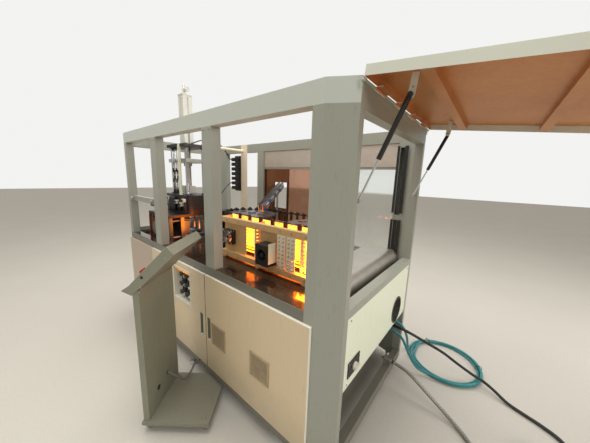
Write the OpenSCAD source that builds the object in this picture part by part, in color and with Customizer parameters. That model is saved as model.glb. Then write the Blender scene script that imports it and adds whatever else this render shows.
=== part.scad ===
// Stretch blow moulding machine for plastic bottles: a guarded frame with an infrared
// oven, a mandrel chain, a two-cavity blow station, a flap door and an operator stand.
// The origin is on the floor under the front right levelling foot, X along the machine.

/* [Frame] */
// Length of the machine frame
frame_l = 2750; // [2700:10:3000]
// Depth of the machine frame
frame_w = 1290; // [1280:5:1400]
// Height of the frame above the floor
frame_h = 2025; // [2015:5:2100]
// Wall of the hollow frame sections
frame_t = 3; // [2:0.5:5]
// Height of the frame above the floor on its levelling feet
foot_h = 85; // [80:1:100]
// Height of the base rails
rail_h = 75; // [60:1:80]
// Width of the base rails
rail_w = 50; // [40:1:60]
// Flat of a corner post along the long side, up to its chamfer
post_flat = 59; // [50:1:70]
// Length of the chamfer along the long side
chamfer_x = 127; // [110:1:135]
// Length of the chamfer along the short side
chamfer_y = 69; // [60:1:80]
// Depth of the long side's rails and posts
side_d = 70; // [60:1:80]
// Width of the mid posts
mid_post_w = 110; // [90:1:120]
// Height of the top rails on the long sides
top_rail_h = 99; // [90:1:110]
// Height of the sill rails
sill_h = 60; // [50:1:65]
// Height of the front sill's lower edge
sill_z = 912; // [905:1:915]

/* [End door] */
// Length of the door from its hinge edge to its free edge
door_l = 1050; // [1000:5:1060]
// Depth of the door's folded edge
door_d = 40; // [35:1:50]
// Sheet of the door and the panels
sheet_t = 2; // [1.5:0.5:3]
// Angle at which the door stands open
door_open = 83.3; // [80:0.1:86]
// Diameter of the gas strut tubes
strut_d = 22; // [18:1:26]
// Diameter of the gas strut rods
strut_rod_d = 10; // [8:1:12]

/* [Cabinet] */
// Depth of the doors' and panels' folded edges
panel_d = 18; // [15:1:25]
// Width of each cabinet door
cab_door_w = 943; // [930:1:946]
// Side of the square vent grilles
vent_s = 165; // [140:1:180]
// Side of the regulator recess
recess_s = 270; // [240:1:280]

/* [Oven] */
// Length of the oven
oven_l = 940; // [930:1:950]
// Distance of the oven from the machine's right end
oven_x = 385; // [380:1:390]
// Number of lamps on each level row
lamp_rows = 8; // [6:1:8]
// Diameter of a lamp tube
lamp_d = 10; // [8:0.5:12]
// Diameter of the cooling fan
fan_d = 112; // [100:1:114]

/* [Chain] */
// Pitch of the mandrels on the chain
pitch = 78; // [77:0.5:78.5]
// Teeth of each sprocket
teeth = 20; // [20:4:20]
// Links in each straight run
run_links = 10; // [10:1:10]
// Diameter of the chain rollers
roller_d = 24; // [20:1:26]

/* [Blow station] */
// Opening of each mould half
mould_open = 80; // [60:1:80]
// Distance between the two bottles
cavity_pitch = 104; // [98:1:110]
// Width of a mould half
mould_w = 290; // [270:1:300]
// Height of the moulds
mould_h = 210; // [190:1:212]
// Diameter of the clamp's guide bars
bar_d = 30; // [25:1:34]
// Side of the stretch cylinder's square barrel
cyl_s = 100; // [90:1:110]
// Diameter of the stretch rods
stretch_d = 12; // [10:0.5:13]

/* [Operator stand] */
// Depth of the stand and its control box
stand_w = 400; // [360:5:410]
// Turn of the stand against the machine
stand_turn = 39.2; // [37:0.1:41]
// Rise of the sloping control box
box_l = 198; // [180:1:205]

/* [Hoses] */
// Diameter of the coiled hose
hose_d = 20; // [18:1:22]
// Radius of the hose coil
coil_r = 290; // [280:5:320]

/* [Hidden] */
$fn = 48;
seat = 0.3;
foot_in_x = 110;
foot_in_y = 60;
ex = foot_in_x;
lx = ex - frame_l;
fy = -foot_in_y;
ry = fy + frame_w;
base_z = foot_h;
panel_z = base_z + rail_h;
sill_top = sill_z + sill_h;
top_z = frame_h - top_rail_h;
post_w = chamfer_x + post_flat;
lip = 41;
post_y = chamfer_y + lip;
end_d = 60;
end_sill_z = 953;
end_sill_h = 45;
beam_z = 1904;
beam_h = 96;
end_panel_z = 538;
table_z = 930;
table_t = 12;
mid_posts = [1025, 1885];
rear_post = 1845;
cab_x1 = ex - chamfer_x - 8;
cab_seam = cab_x1 - cab_door_w;
cab_x0 = cab_seam - cab_door_w - 2;
hinge_x = ex + 6;
hinge_z = 2008;
hinge_r = 6;
door_gap = hinge_r;
door_y0 = fy + 50;
door_w = frame_w - 100;
knuckles = 9;
pivot_l = 157;
pivot_n = -38;
strut_tube_l = 262;
strut_in = 100;
anchor_z = 1525;
mould_y = fy + 470;
blow_x = ex - 2200;

function unit(v) = v / norm(v);
function left(d) = [-d[1], d[0]];
// Point where two offset edges meet, for an outline's corner i
function mitre(p, i, t) =
    let (n = len(p), a = unit(p[i] - p[(i + n - 1) % n]), b = unit(p[(i + 1) % n] - p[i]),
         k = t / (1 + a * b))
    p[i] + (left(a) + left(b)) * k;
function inset(p, t) = [for (i = [0:len(p) - 1]) mitre(p, i, t)];
function arc(c, r, a0, a1, n = 8) =
    [for (i = [0:n]) let (a = a0 + (a1 - a0) * i / n) c + r * [cos(a), sin(a)]];

module span(a, b) translate(a) cube(b - a);

// A bar of square tube with an open bore along axis 0 (X), 1 (Y) or 2 (Z)
module tube_bar(a, b, axis, t = frame_t) {
    cut = [for (i = [0:2]) i == axis ? -1 : t];
    difference() {
        span(a, b);
        span(a + cut, b - cut);
    }
}

// A folded tray with its face on the side away from its open back, face down on z = 0
module tray(w, h, d, t = sheet_t) difference() {
    cube([w, h, d]);
    translate([t, t, t]) cube([w - 2 * t, h - 2 * t, d]);
}

// A tray standing in the XZ plane with its face towards -Y
module front_tray(x0, x1, z0, z1, y0, d)
    translate([x0, y0, z1]) rotate([-90, 0, 0]) tray(x1 - x0, z1 - z0, d);

// A rod of diameter d between two points
module rod(a, b, d) {
    v = b - a;
    translate(a) rotate([0, acos(v[2] / norm(v)), atan2(v[1], v[0])]) cylinder(d = d, h = norm(v));
}

// Rounds a hand-set route into a smooth one
function spline(p, i, t) =
    let (n = len(p) - 1, a = p[max(i - 1, 0)], b = p[i], c = p[i + 1], d = p[min(i + 2, n)])
    0.5 * ((2 * b) + (c - a) * t + (2 * a - 5 * b + 4 * c - d) * t * t
        + (3 * b - a - 3 * c + d) * t * t * t);
function smooth(p, k) = [for (i = [0:len(p) - 2], j = [0:k - 1]) spline(p, i, j / k), p[len(p) - 1]];
function tangent(p, i) = unit(p[min(i + 1, len(p) - 1)] - p[max(i - 1, 0)]);
function normals(p, i, n) =
    i == len(p) ? [] :
    let (t = tangent(p, i), m = unit(n - (n * t) * t)) concat([m], normals(p, i + 1, m));
module hose(route, d, sides = 8, steps = 3) {
    p = smooth(route, steps);
    t0 = tangent(p, 0);
    first = abs(t0[2]) > 0.9 ? [1, 0, 0] : [0, 0, 1];
    nrm = normals(p, 0, first);
    rings = [for (i = [0:len(p) - 1], j = [0:sides - 1])
        let (t = tangent(p, i), b = cross(t, nrm[i]), a = 360 * j / sides)
        p[i] + d / 2 * (cos(a) * nrm[i] + sin(a) * b)];
    walls = [for (i = [0:len(p) - 2], j = [0:sides - 1])
        let (k = i * sides, m = (j + 1) % sides) [k + j, k + sides + j, k + sides + m, k + m]];
    polyhedron(rings, concat(walls, [[for (j = [0:sides - 1]) j],
        [for (j = [sides - 1:-1:0]) (len(p) - 1) * sides + j]]));
}

// Outline of the front right corner post; the other corners mirror it
corner_outline = [[ex - post_w, fy], [ex - chamfer_x, fy], [ex, fy + chamfer_y],
    [ex, fy + post_y], [ex - end_d, fy + post_y], [ex - post_w, fy + side_d]];

module at_rear() translate([0, fy + ry, 0]) mirror([0, 1, 0]) children();
module at_left() translate([ex + lx, 0, 0]) mirror([1, 0, 0]) children();

module corner_post() {
    difference() {
        translate([0, 0, base_z]) linear_extrude(frame_h - base_z) polygon(corner_outline);
        translate([0, 0, base_z + 8])
            linear_extrude(frame_h - base_z - 8 - frame_t) polygon(inset(corner_outline, frame_t));
        translate([0, 0, base_z - 1]) cylinder(d = 18, h = 20);
    }
}

// Two long openings for cables in the inner face of a post
slot_z = [[700, 1300], [1345, 1890]];
slot_w = 50;
module post_slots() for (z = slot_z)
    span([ex - post_w + 12, fy + side_d - 8, z[0]], [ex - post_w + 12 + slot_w, fy + post_y, z[1]]);

// Ball stud that carries the lower end of a gas strut
strut_y = fy + 160;
stud_x = ex - 20;
module strut_stud() translate([stud_x, fy + post_y, anchor_z]) rotate([-90, 0, 0]) {
    cylinder(d = 20, h = 6);
    cylinder(d = 10, h = strut_y - fy - post_y - strut_rod_d / 2 - 1 - seat);
}

module end_portal() {
    corner_post();
    at_rear() corner_post();
    tube_bar([ex - end_d, fy + post_y, beam_z], [ex, ry - post_y, beam_z + beam_h], 1);
    tube_bar([ex - end_d, fy + post_y, end_sill_z], [ex, ry - post_y, end_sill_z + end_sill_h], 1);
}

knuckle_l = door_w / knuckles;
module hinge_knuckles(odd, gap = 0.5) for (i = [odd:2:knuckles - 1])
    translate([hinge_x, door_y0 + i * knuckle_l + gap, hinge_z]) rotate([-90, 0, 0])
        cylinder(r = hinge_r, h = knuckle_l - 2 * gap);

// The pin is carried by the frame's knuckles and runs in the door's with clearance
module hinge_bore(d) translate([hinge_x, door_y0 - 1, hinge_z]) rotate([-90, 0, 0])
    cylinder(d = d, h = door_w + 2);

module frame_right() color("#9fa193") {
    difference() {
        end_portal();
        at_rear() post_slots();
    }
    strut_stud();
    at_rear() strut_stud();
    difference() {
        union() {
            span([ex, door_y0 + 1, hinge_z - 30], [ex + 2, door_y0 + door_w - 1, hinge_z]);
            span([ex - end_d, fy + post_y, beam_z + beam_h], [ex + 2, ry - post_y, hinge_z - 6]);
            hinge_knuckles(0);
        }
        for (i = [1:2:knuckles - 2]) translate([hinge_x, door_y0 + i * knuckle_l, hinge_z])
            rotate([-90, 0, 0]) cylinder(r = hinge_r + 1, h = knuckle_l);
    }
    translate([hinge_x, door_y0 + 1, hinge_z]) rotate([-90, 0, 0]) cylinder(d = 5, h = door_w - 2);
}

module frame_left() color("#9fa193") at_left() end_portal();

// A long side of the frame: top rail, sill and mid posts
module side_frame(posts) {
    x0 = lx + post_w;
    x1 = ex - post_w;
    tube_bar([x0, fy, top_z], [x1, fy + side_d, frame_h], 0);
    tube_bar([x0, fy, sill_z], [x1, fy + side_d, sill_top], 0);
    for (p = posts) {
        tube_bar([ex - p - mid_post_w / 2, fy, sill_top],
                 [ex - p + mid_post_w / 2, fy + side_d, top_z], 2);
        tube_bar([ex - p - mid_post_w / 2, fy, panel_z],
                 [ex - p + mid_post_w / 2, fy + side_d, sill_z], 2);
    }
}

// The left bay's cross rail with its two clamp knobs
bay_z = 1330;
module bay_rail() {
    x1 = ex - mid_posts[1] - mid_post_w / 2;
    span([lx + post_w, fy + 20, bay_z], [x1, fy + 60, bay_z + 50]);
    for (x = [lx + post_w + 45, x1 - 75]) translate([x, fy + 20, bay_z + 25]) rotate([90, 0, 0]) {
        cylinder(d = 12, h = 12);
        translate([0, 0, 12]) cylinder(d = 34, h = 16);
    }
}

module frame_front() color("#a6a899") {
    side_frame(mid_posts);
    bay_rail();
}

// Sheet header and glazing tracks over the rear bay
header_z = 1732;
glass_t = 6;
rear_x0 = ex - rear_post + mid_post_w / 2;
rear_x1 = ex - post_w;
fixed_y = ry - 50;
slide_y = ry - 34;
track_t = 3;
module track(z0, z1) for (y = [fixed_y, slide_y]) for (s = [-track_t - seat, glass_t + seat])
    span([rear_x0, y + s, z0], [rear_x1, y + s + track_t, z1]);

module frame_rear() color("#9fa193") {
    at_rear() side_frame([rear_post]);
    span([rear_x0, fixed_y - track_t - seat, header_z], [rear_x1, ry - 20, header_z + 3]);
    span([rear_x0, fixed_y - 5, header_z + 3], [rear_x1, fixed_y - 2, top_z + 1]);
    track(header_z - 15, header_z + 1);
    track(sill_top - 1, sill_top + 15);
}

module rail(a, b, axis) tube_bar(a, b, axis, 4);

// Cross members of the base stand at these distances from the right end
cross_x = [300, 970, 1640, 2310];
stub_y = [200, 1090];
inlet = [fy + 950, 198];
module base_frame() color("#8f9186") {
    z = [base_z, panel_z];
    x0 = lx + post_w;
    x1 = ex - post_w;
    rail([x0, fy, z[0]], [x1, fy + rail_w, z[1]], 0);
    rail([x0, ry - rail_w, z[0]], [x1, ry, z[1]], 0);
    rail([ex - rail_w, fy + post_y, z[0]], [ex, ry - post_y, z[1]], 1);
    rail([lx, fy + post_y, z[0]], [lx + rail_w, ry - post_y, z[1]], 1);
    for (c = cross_x) {
        rail([ex - c - rail_w, fy + rail_w + seat, z[0]], [ex - c, ry - rail_w - seat, z[1]], 1);
        for (y = stub_y) rail([ex - c - rail_w, fy + y - rail_w / 2, z[1] + seat],
            [ex - c, fy + y + rail_w / 2, table_z - table_t], 2);
    }
    // Air inlet: a bracket on the end rail with its pipe nipple
    span([ex - rail_w, inlet[0] - 25, z[1]], [ex - rail_w + 4, inlet[0] + 25, inlet[1] + 25]);
    translate([ex - rail_w + 4, inlet[0], inlet[1]]) rotate([0, 90, 0]) {
        cylinder(d = 38, h = 14, $fn = 6);
        cylinder(d = 26, h = rail_w - 10);
    }
}

module levelling_foot() {
    rotate_extrude() polygon([[0, 0], [38, 0], [38, 6], [30, 12], [14, 18], [8, 18],
        [8, base_z], [0, base_z]]);
    translate([0, 0, base_z - 12]) difference() {
        cylinder(d = 27, h = 12, $fn = 6);
        translate([0, 0, -1]) cylinder(d = 15.9, h = 14);
    }
}

module levelling_feet() color("#6f6f6b") {
    for (x = [0, 2 * foot_in_x - frame_l], y = [0, frame_w - 2 * foot_in_y])
        translate([x, y, 0]) levelling_foot();
    for (y = [fy + rail_w / 2, ry - rail_w / 2]) translate([(ex + lx) / 2, y, 0]) levelling_foot();
}

module table_plate() color("#4d443c") difference() {
    span([lx + end_d + seat, fy + side_d + seat, table_z - table_t],
         [ex - end_d - seat, ry - side_d - seat, table_z]);
    for (m = [0, 1], n = [0, 1]) translate([m * (ex + lx), n * (fy + ry), 0])
        mirror([m, 0, 0]) mirror([0, n, 0])
            span([ex - post_w - 1, fy, table_z - 50], [ex, fy + post_y + 1, table_z + 50]);
    for (x = sprocket_x) translate([x, chain_y, table_z - 50]) cylinder(d = 60, h = 100);
}

// Cream panels of the left bay, the left end and the back
module cabinet_panels() color("#cdbba9") {
    front_tray(lx + chamfer_x + 8, cab_x0 - 4, panel_z + 1, sill_z - 1, fy - panel_d - seat, panel_d);
    translate([lx + 1, fy + post_y + 2, end_sill_z - seat]) rotate([0, 90, 0])
        tray(end_sill_z - seat - panel_z - 1, frame_w - 2 * post_y - 4, panel_d);
    at_rear() for (x = [[lx + chamfer_x + 8, (lx + ex) / 2 - 1], [(lx + ex) / 2 + 1, ex - chamfer_x - 8]])
        front_tray(x[0], x[1], panel_z + 1, sill_z - 1, fy - panel_d - seat, panel_d);
}

// Round cable vent and switch cut-out of the end panel
vent_c = [945, 652];
vent_d = 190;
switch_c = [217, 640];
switch_s = [135, 90];
module panel_end_right() color("#d9ddc6") difference() {
    translate([ex - 1, fy + post_y + 2, end_panel_z]) rotate([0, -90, 0])
        tray(end_sill_z - seat - end_panel_z, frame_w - 2 * post_y - 4, panel_d);
    translate([ex - 10, fy + vent_c[0], vent_c[1]]) rotate([0, 90, 0]) cylinder(d = vent_d, h = 20);
    span([ex - 10, fy + switch_c[0] - switch_s[0] / 2 + 8, switch_c[1] - switch_s[1] / 2 + 8],
         [ex + 10, fy + switch_c[0] + switch_s[0] / 2 - 8, switch_c[1] + switch_s[1] / 2 - 8]);
}

// The fixed pane has an opening where the preform chute comes through
chute_gate = [[-1610, 1257], [-1412, 1567]];
pane_x = -1400;
module rear_window_fixed() color("#5c3a28") difference() {
    span([rear_x0 + 1, fixed_y, sill_top + seat], [ex + pane_x + 15, fixed_y + glass_t, header_z - seat]);
    span([ex + chute_gate[0][0], fixed_y - 5, chute_gate[0][1]],
         [ex + chute_gate[1][0], fixed_y + 20, chute_gate[1][1]]);
}
module rear_window_sliding() color("#5c3a28")
    span([ex + pane_x - 5, slide_y, sill_top + seat], [rear_x1 - 1, slide_y + glass_t, header_z - seat]);

// Slot grip of a cabinet door, with its folded pocket behind
grip = [44, 180];
grip_z = 405;
module grip_cut(x) span([x, fy - 50, grip_z], [x + grip[0], fy + 50, grip_z + grip[1]]);
module grip_pocket(x) difference() {
    span([x - sheet_t, fy - panel_d - seat + sheet_t, grip_z - sheet_t],
         [x + grip[0] + sheet_t, fy - seat, grip_z + grip[1] + sheet_t]);
    span([x, fy - panel_d - 5, grip_z], [x + grip[0], fy - seat - sheet_t, grip_z + grip[1]]);
}
module cabinet_door(x0, x1, grip_x) {
    difference() {
        front_tray(x0, x1, panel_z + 1, sill_z - 1, fy - panel_d - seat, panel_d);
        grip_cut(grip_x);
    }
    grip_pocket(grip_x);
}

grip_left_x = cab_seam - 82;
grip_right_x = cab_seam + 18;
recess_x = ex - 1563;
recess_z = 585;
module cabinet_door_left() color("#c3b196") difference() {
    cabinet_door(cab_x0, cab_seam - 1, grip_left_x);
    span([recess_x, fy - 50, recess_z], [recess_x + recess_s, fy + 50, recess_z + recess_s]);
}
vent_x = [995, 570];
vent_z = 402;
vent_hole = vent_s - 24;
module cabinet_door_right() color("#c3b196") difference() {
    cabinet_door(cab_seam + 1, cab_x1, grip_right_x);
    for (v = vent_x) span([ex - v + 12, fy - 50, vent_z + 12],
        [ex - v + 12 + vent_hole, fy + 50, vent_z + 12 + vent_hole]);
}

// Moulded grille with slanted slats
slats = 11;
module vent_grille() {
    difference() {
        cube([vent_s, 6, vent_s]);
        translate([12, -1, 12]) cube([vent_hole, 8, vent_hole]);
    }
    for (i = [0:slats - 1]) translate([11.5, 0.5, 12 + (i + 0.25) * vent_hole / slats])
        rotate([-35, 0, 0]) cube([vent_hole + 1, 2, 6]);
}
module vent_grilles() color("#b9a98c") for (v = vent_x)
    translate([ex - v, fy - panel_d - 6 - seat, vent_z]) vent_grille();

// Recess in the left door with six pressure regulators on its back wall
recess_d = 60;
module regulator() rotate([90, 0, 0]) {
    translate([-22, -22, 0]) cube([44, 44, 18]);
    translate([0, 0, 18]) cylinder(d = 30, h = 8);
    translate([0, 0, 26]) for (a = [0:45:315]) rotate(a) translate([12, 0, 0]) cylinder(d = 8, h = 16);
    translate([0, 0, 26]) cylinder(d = 26, h = 16);
}
module regulator_pocket() color("#3a3a3a") {
    b = 3;
    y0 = fy - panel_d - seat;
    difference() {
        union() {
            span([recess_x + 1, y0 - b, recess_z + 1],
                 [recess_x + recess_s - 1, fy + recess_d, recess_z + recess_s - 1]);
            span([recess_x - 12, y0 - b, recess_z - 12],
                 [recess_x + recess_s + 12, y0 - seat, recess_z + recess_s + 12]);
        }
        span([recess_x + b, y0 - 10, recess_z + b],
             [recess_x + recess_s - b, fy + recess_d - b, recess_z + recess_s - b]);
    }
    for (i = [0, 1], j = [0:2])
        translate([recess_x + 95 + i * 80, fy + recess_d - b, recess_z + 55 + j * 80]) regulator();
}

module main_switch_plate() color("#262626") difference() {
    span([ex - 1 + seat, fy + switch_c[0] - switch_s[0] / 2, switch_c[1] - switch_s[1] / 2],
         [ex + 5, fy + switch_c[0] + switch_s[0] / 2, switch_c[1] + switch_s[1] / 2]);
    translate([ex - 10, fy + switch_c[0], switch_c[1]]) rotate([0, 90, 0]) cylinder(d = 12.1, h = 20);
}
module main_switch_knob() color("#d8d8d2") translate([ex, fy + switch_c[0], switch_c[1]])
    rotate([0, 90, 0]) {
        translate([0, 0, -0.7]) cylinder(d = 12, h = 8);
        translate([0, 0, 5 + seat]) cylinder(d = 44, h = 7);
        translate([-7, -26, 12]) cube([14, 52, 16]);
    }

// Round mesh guard in the end panel
module round_vent() color("#5a5b50") translate([ex - 1 + seat, fy + vent_c[0], vent_c[1]])
    rotate([0, 90, 0]) {
        difference() {
            cylinder(d = vent_d + 16, h = 4);
            translate([0, 0, -1]) cylinder(d = vent_d - 8, h = 6);
        }
        for (i = [-5:5]) let (x = i * 16, h = sqrt(pow(vent_d / 2 - 2, 2) - x * x)) {
            translate([x, -h, 1]) rotate([-90, 0, 0]) cylinder(d = 2, h = 2 * h, $fn = 12);
            translate([-h, x, 2.4]) rotate([0, 90, 0]) cylinder(d = 2, h = 2 * h, $fn = 12);
        }
    }

// Everything on the door is drawn shut and then swung up
module swung(a = door_open) translate([hinge_x, 0, hinge_z]) rotate([0, -a, 0]) children();
rib_l = [200, 610];
rib_w = 45;
bracket_w = 28;
module hat_rib(l) for (s = [[l, l + sheet_t, 6], [l + rib_w - sheet_t, l + rib_w, 6]])
    span([door_gap + s[2] - 2, door_y0 + 20, -s[1]], [door_gap + door_d - sheet_t, door_y0 + door_w - 20, -s[0]]);
module rib_cap(l) span([door_gap + 4, door_y0 + 20, -l - rib_w],
    [door_gap + 4 + sheet_t, door_y0 + door_w - 20, -l]);
// Flat bar with two holes that holds a strut's upper end
module strut_bracket(y) difference() {
    union() {
        span([pivot_n + 14, y - 3, -pivot_l - bracket_w / 2],
             [door_gap + door_d - sheet_t, y + 3, -pivot_l + bracket_w / 2]);
        translate([pivot_n, y - 3, -pivot_l]) rotate([-90, 0, 0]) cylinder(d = bracket_w, h = 6);
        span([pivot_n, y - 3, -pivot_l - bracket_w / 2], [pivot_n + 15, y + 3, -pivot_l + bracket_w / 2]);
    }
    translate([pivot_n, y - 10, -pivot_l]) rotate([-90, 0, 0]) cylinder(d = 8.1, h = 20);
    translate([pivot_n + 30, y - 10, -pivot_l]) rotate([-90, 0, 0]) cylinder(d = 7, h = 20);
}
bracket_off = 17;
strut_ys = [strut_y, fy + ry - strut_y];
bracket_ys = [strut_y + bracket_off, fy + ry - strut_y - bracket_off];
module end_door() color("#e2e6d6") swung() {
    translate([door_gap + door_d, door_y0, -hinge_r - 2]) rotate([0, 90, 0]) rotate([0, 0, 0])
        translate([0, 0, 0]) mirror([0, 0, 1]) tray(door_l, door_w, door_d);
    for (l = rib_l) {
        hat_rib(l);
        rib_cap(l);
    }
    for (y = bracket_ys) strut_bracket(y);
    difference() {
        union() {
            translate([-hinge_x, 0, -hinge_z]) hinge_knuckles(1);
            for (i = [1:2:knuckles - 2]) span([4, door_y0 + i * knuckle_l + 0.5, -34],
                [door_gap + 0.5, door_y0 + (i + 1) * knuckle_l - 0.5, 0]);
        }
        translate([-hinge_x, 0, -hinge_z]) hinge_bore(5.2);
    }
    for (i = [1:2:knuckles - 2]) span([door_gap, door_y0 + i * knuckle_l + 0.5, -34],
        [door_gap + 3, door_y0 + (i + 1) * knuckle_l - 0.5, -hinge_r - 4]);
}

// A strut lies in its own frame: pivot at the origin, pointing along +X to its stud
pivot = [hinge_x + pivot_n * cos(door_open) + pivot_l * sin(door_open),
    hinge_z + pivot_n * sin(door_open) - pivot_l * cos(door_open)];
strut_v = [stud_x - pivot[0], anchor_z - pivot[1]];
strut_end = norm(strut_v);
module in_strut(y) translate([pivot[0], y, pivot[1]]) rotate([0, atan2(-strut_v[1], strut_v[0]), 0])
    children();
eye_d = 20;
module strut_tube(y, side) in_strut(y) {
    rotate([90, 0, 0]) translate([0, 0, -5]) cylinder(d = eye_d, h = 10);
    rotate([0, 90, 0]) difference() {
        translate([0, 0, 8]) cylinder(d = strut_d, h = strut_tube_l - 8);
        translate([0, 0, 24]) cylinder(d = strut_rod_d + 0.2, h = strut_tube_l);
    }
    // Pin through the bracket's hole
    rotate([-90 * side, 0, 0]) cylinder(d = 8, h = bracket_off + 5);
}
module strut_rod(y) in_strut(y) {
    translate([strut_tube_l - strut_in + 20, 0, 0]) rotate([0, 90, 0])
        cylinder(d = strut_rod_d, h = strut_end - strut_tube_l + strut_in - 20);
    translate([strut_end, 0, 0]) rotate([90, 0, 0]) translate([0, 0, -strut_rod_d / 2 - 1])
        cylinder(d = eye_d, h = strut_rod_d + 2);
}
module strut_tube_near() color("#202020") strut_tube(strut_ys[0], 1);
module strut_tube_far() color("#202020") strut_tube(strut_ys[1], -1);
module strut_rod_near() color("#b8bcc0") strut_rod(strut_ys[0]);
module strut_rod_far() color("#b8bcc0") strut_rod(strut_ys[1]);

// Oven: two lamp modules between an upper and a lower beam
oven_x1 = ex - oven_x;
oven_x0 = oven_x1 - oven_l;
oven_y = fy + 295;
oven_z0 = 945;
oven_z1 = 1280;
beam_s = 45;
beam_d = 40;
plate_d = 225;
hood_z = 1160;
lamp_y = oven_y + 95;
lamp_z0 = 1004;
lamp_gap = 27;
modules_x = [[oven_x0 + 35, oven_x0 + 395], [oven_x0 + 475, oven_x1 - 85]];
covers_x = [[oven_x0 + 6, oven_x0 + 290], [oven_x0 + 455, oven_x0 + 790]];
blower_x = oven_x0 + 513;
blower_w = 124;
flap_x = blower_x + blower_w + 15;
fan_c = [oven_x0 + 88, 1112];
module oven_frame() color("#b9ad86") {
    for (z = [oven_z0, oven_z1 - beam_s]) span([oven_x0, oven_y, z], [oven_x1, oven_y + beam_d, z + beam_s]);
    for (x = [oven_x0, oven_x0 + 430, oven_x1 - 4]) {
        span([x, oven_y + beam_d + seat, oven_z0], [x + 4, oven_y + plate_d - 4 - seat, hood_z]);
        span([x, oven_y + beam_d + seat, hood_z + seat], [x + 4, oven_y + 113 - seat, oven_z1]);
    }
    for (x = [oven_x0 + 20, oven_x0 + 440, oven_x1 - 50], y = [oven_y, oven_y + plate_d - 30])
        span([x, y, table_z], [x + 30, y + 30, oven_z0 - seat]);
    for (x = [oven_x0, oven_x1 - 80]) span([x + 4 + seat, oven_y + plate_d - 30, oven_z0],
        [x + 76 - seat, oven_y + plate_d, oven_z0 + 6]);
    span([oven_x0, oven_y + plate_d - 4, oven_z0 + 6 + seat], [oven_x1, oven_y + plate_d, hood_z]);
    for (c = covers_x) difference() {
        span([c[0], oven_y + beam_d + seat, oven_z0 + 20], [c[1], oven_y + beam_d + 2, oven_z1 - 20]);
        translate([fan_c[0], oven_y, fan_c[1]]) rotate([-90, 0, 0]) cylinder(d = fan_d - 4, h = 80);
    }
    span([oven_x0, oven_y + 113, oven_z1 - 50], [oven_x1, oven_y + 117, oven_z1 + 10]);
    // Sheet flap beside the blower
    span([flap_x, oven_y - 70, 1024], [flap_x + 2, oven_y + beam_d, 1172]);
}

holder_w = 12;
module lamp_holders() color("#d9cdb4") for (m = modules_x, x = [m[0], m[1]]) {
    span([x - 12, oven_y + beam_d + 2, oven_z0], [x + 12, oven_y + beam_d + 5, oven_z1]);
    for (i = [0:lamp_rows - 1]) span([x - holder_w / 2, oven_y + beam_d + 5, lamp_z0 + i * lamp_gap - 9],
        [x + holder_w / 2, lamp_y + 8, lamp_z0 + i * lamp_gap + 9]);
}
module ir_lamps() color("#ffb347") for (m = modules_x, i = [0:lamp_rows - 1])
    translate([m[0] + holder_w / 2, lamp_y, lamp_z0 + i * lamp_gap]) rotate([0, 90, 0])
        cylinder(d = lamp_d, h = m[1] - m[0] - holder_w);

// Square fan frame with its motor spider, and the blower beside it
fan_t = 38;
module oven_fans() color("#232323") {
    translate([fan_c[0], oven_y + beam_d, fan_c[1]]) rotate([90, 0, 0]) {
        difference() {
            translate([-60, -60, 0]) cube([120, 120, fan_t]);
            translate([0, 0, -1]) cylinder(d = fan_d, h = fan_t + 2);
            for (x = [-52, 52], y = [-52, 52]) translate([x, y, -1]) cylinder(d = 5, h = fan_t + 2);
        }
        cylinder(d = 38, h = 6);
        for (a = [45:90:315]) rotate(a) translate([15, -3, 0]) cube([fan_d / 2 - 14, 6, 4]);
    }
    x0 = blower_x;
    difference() {
        span([x0, oven_y - 62, 1000], [x0 + blower_w, oven_y + beam_d - seat, 1150]);
        translate([x0 + 62, oven_y - 80, 1075]) rotate([-90, 0, 0]) cylinder(d = 84, h = 60);
    }
    translate([x0 + 62, oven_y - 58, 1075]) rotate([-90, 0, 0]) {
        cylinder(d = 34, h = 50);
        for (a = [0:60:300]) rotate(a) translate([30, 0, 20]) cylinder(d = 5, h = 20, $fn = 16);
    }
}
module fan_rotor() color("#1c1c1c") translate([fan_c[0], oven_y + beam_d - 6 - seat, fan_c[1]])
    rotate([90, 0, 0]) {
        cylinder(d = 38, h = 24);
        for (a = [0:360 / 7:359]) rotate(a) translate([17, -2, 11]) rotate([38, 0, 0])
            translate([0, -13, -1]) cube([fan_d / 2 - 20, 26, 2]);
    }

// Mandrel chain: an upright-axle sprocket at each end, carriers one pitch apart
chain_r = pitch * teeth / (2 * PI);
chain_y = fy + 450 + chain_r;
sprocket_x = [oven_x1 - 230, oven_x1 - 230 - pitch * run_links];
chain_z = 1246;
sprocket_t = 14;
// The teeth turn just inside the carriers' rollers
tooth_r = chain_r - roller_d / 2;
tooth_h = 6;
shaft_d = 40;
half = teeth / 2;
runs = 2 * run_links + teeth;
// Place and heading of carrier i around the loop
function chain_at(i) =
    i < run_links ? [[sprocket_x[1] + i * pitch, chain_y - chain_r], 0] :
    i < run_links + half ? let (a = -90 + (i - run_links) * 360 / teeth)
        [[sprocket_x[0] + chain_r * cos(a), chain_y + chain_r * sin(a)], a + 90] :
    i < 2 * run_links + half ?
        [[sprocket_x[0] - (i - run_links - half) * pitch, chain_y + chain_r], 180] :
    let (a = 90 + (i - 2 * run_links - half) * 360 / teeth)
        [[sprocket_x[1] + chain_r * cos(a), chain_y + chain_r * sin(a)], a + 90];

module carrier() {
    translate([0, 0, chain_z - 3]) cylinder(d = roller_d - 0.6, h = sprocket_t + 6, $fn = 24);
    translate([-22, -17, chain_z + sprocket_t + seat]) cube([44, 34, 19 - seat]);
    translate([0, 0, chain_z + sprocket_t + 19]) cylinder(d = 24, h = 10, $fn = 24);
    translate([0, 0, chain_z - 50]) cylinder(d = 26, h = 47, $fn = 24);
    translate([0, 0, chain_z - 62]) cylinder(d = 18, h = 12, $fn = 24);
}
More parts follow.
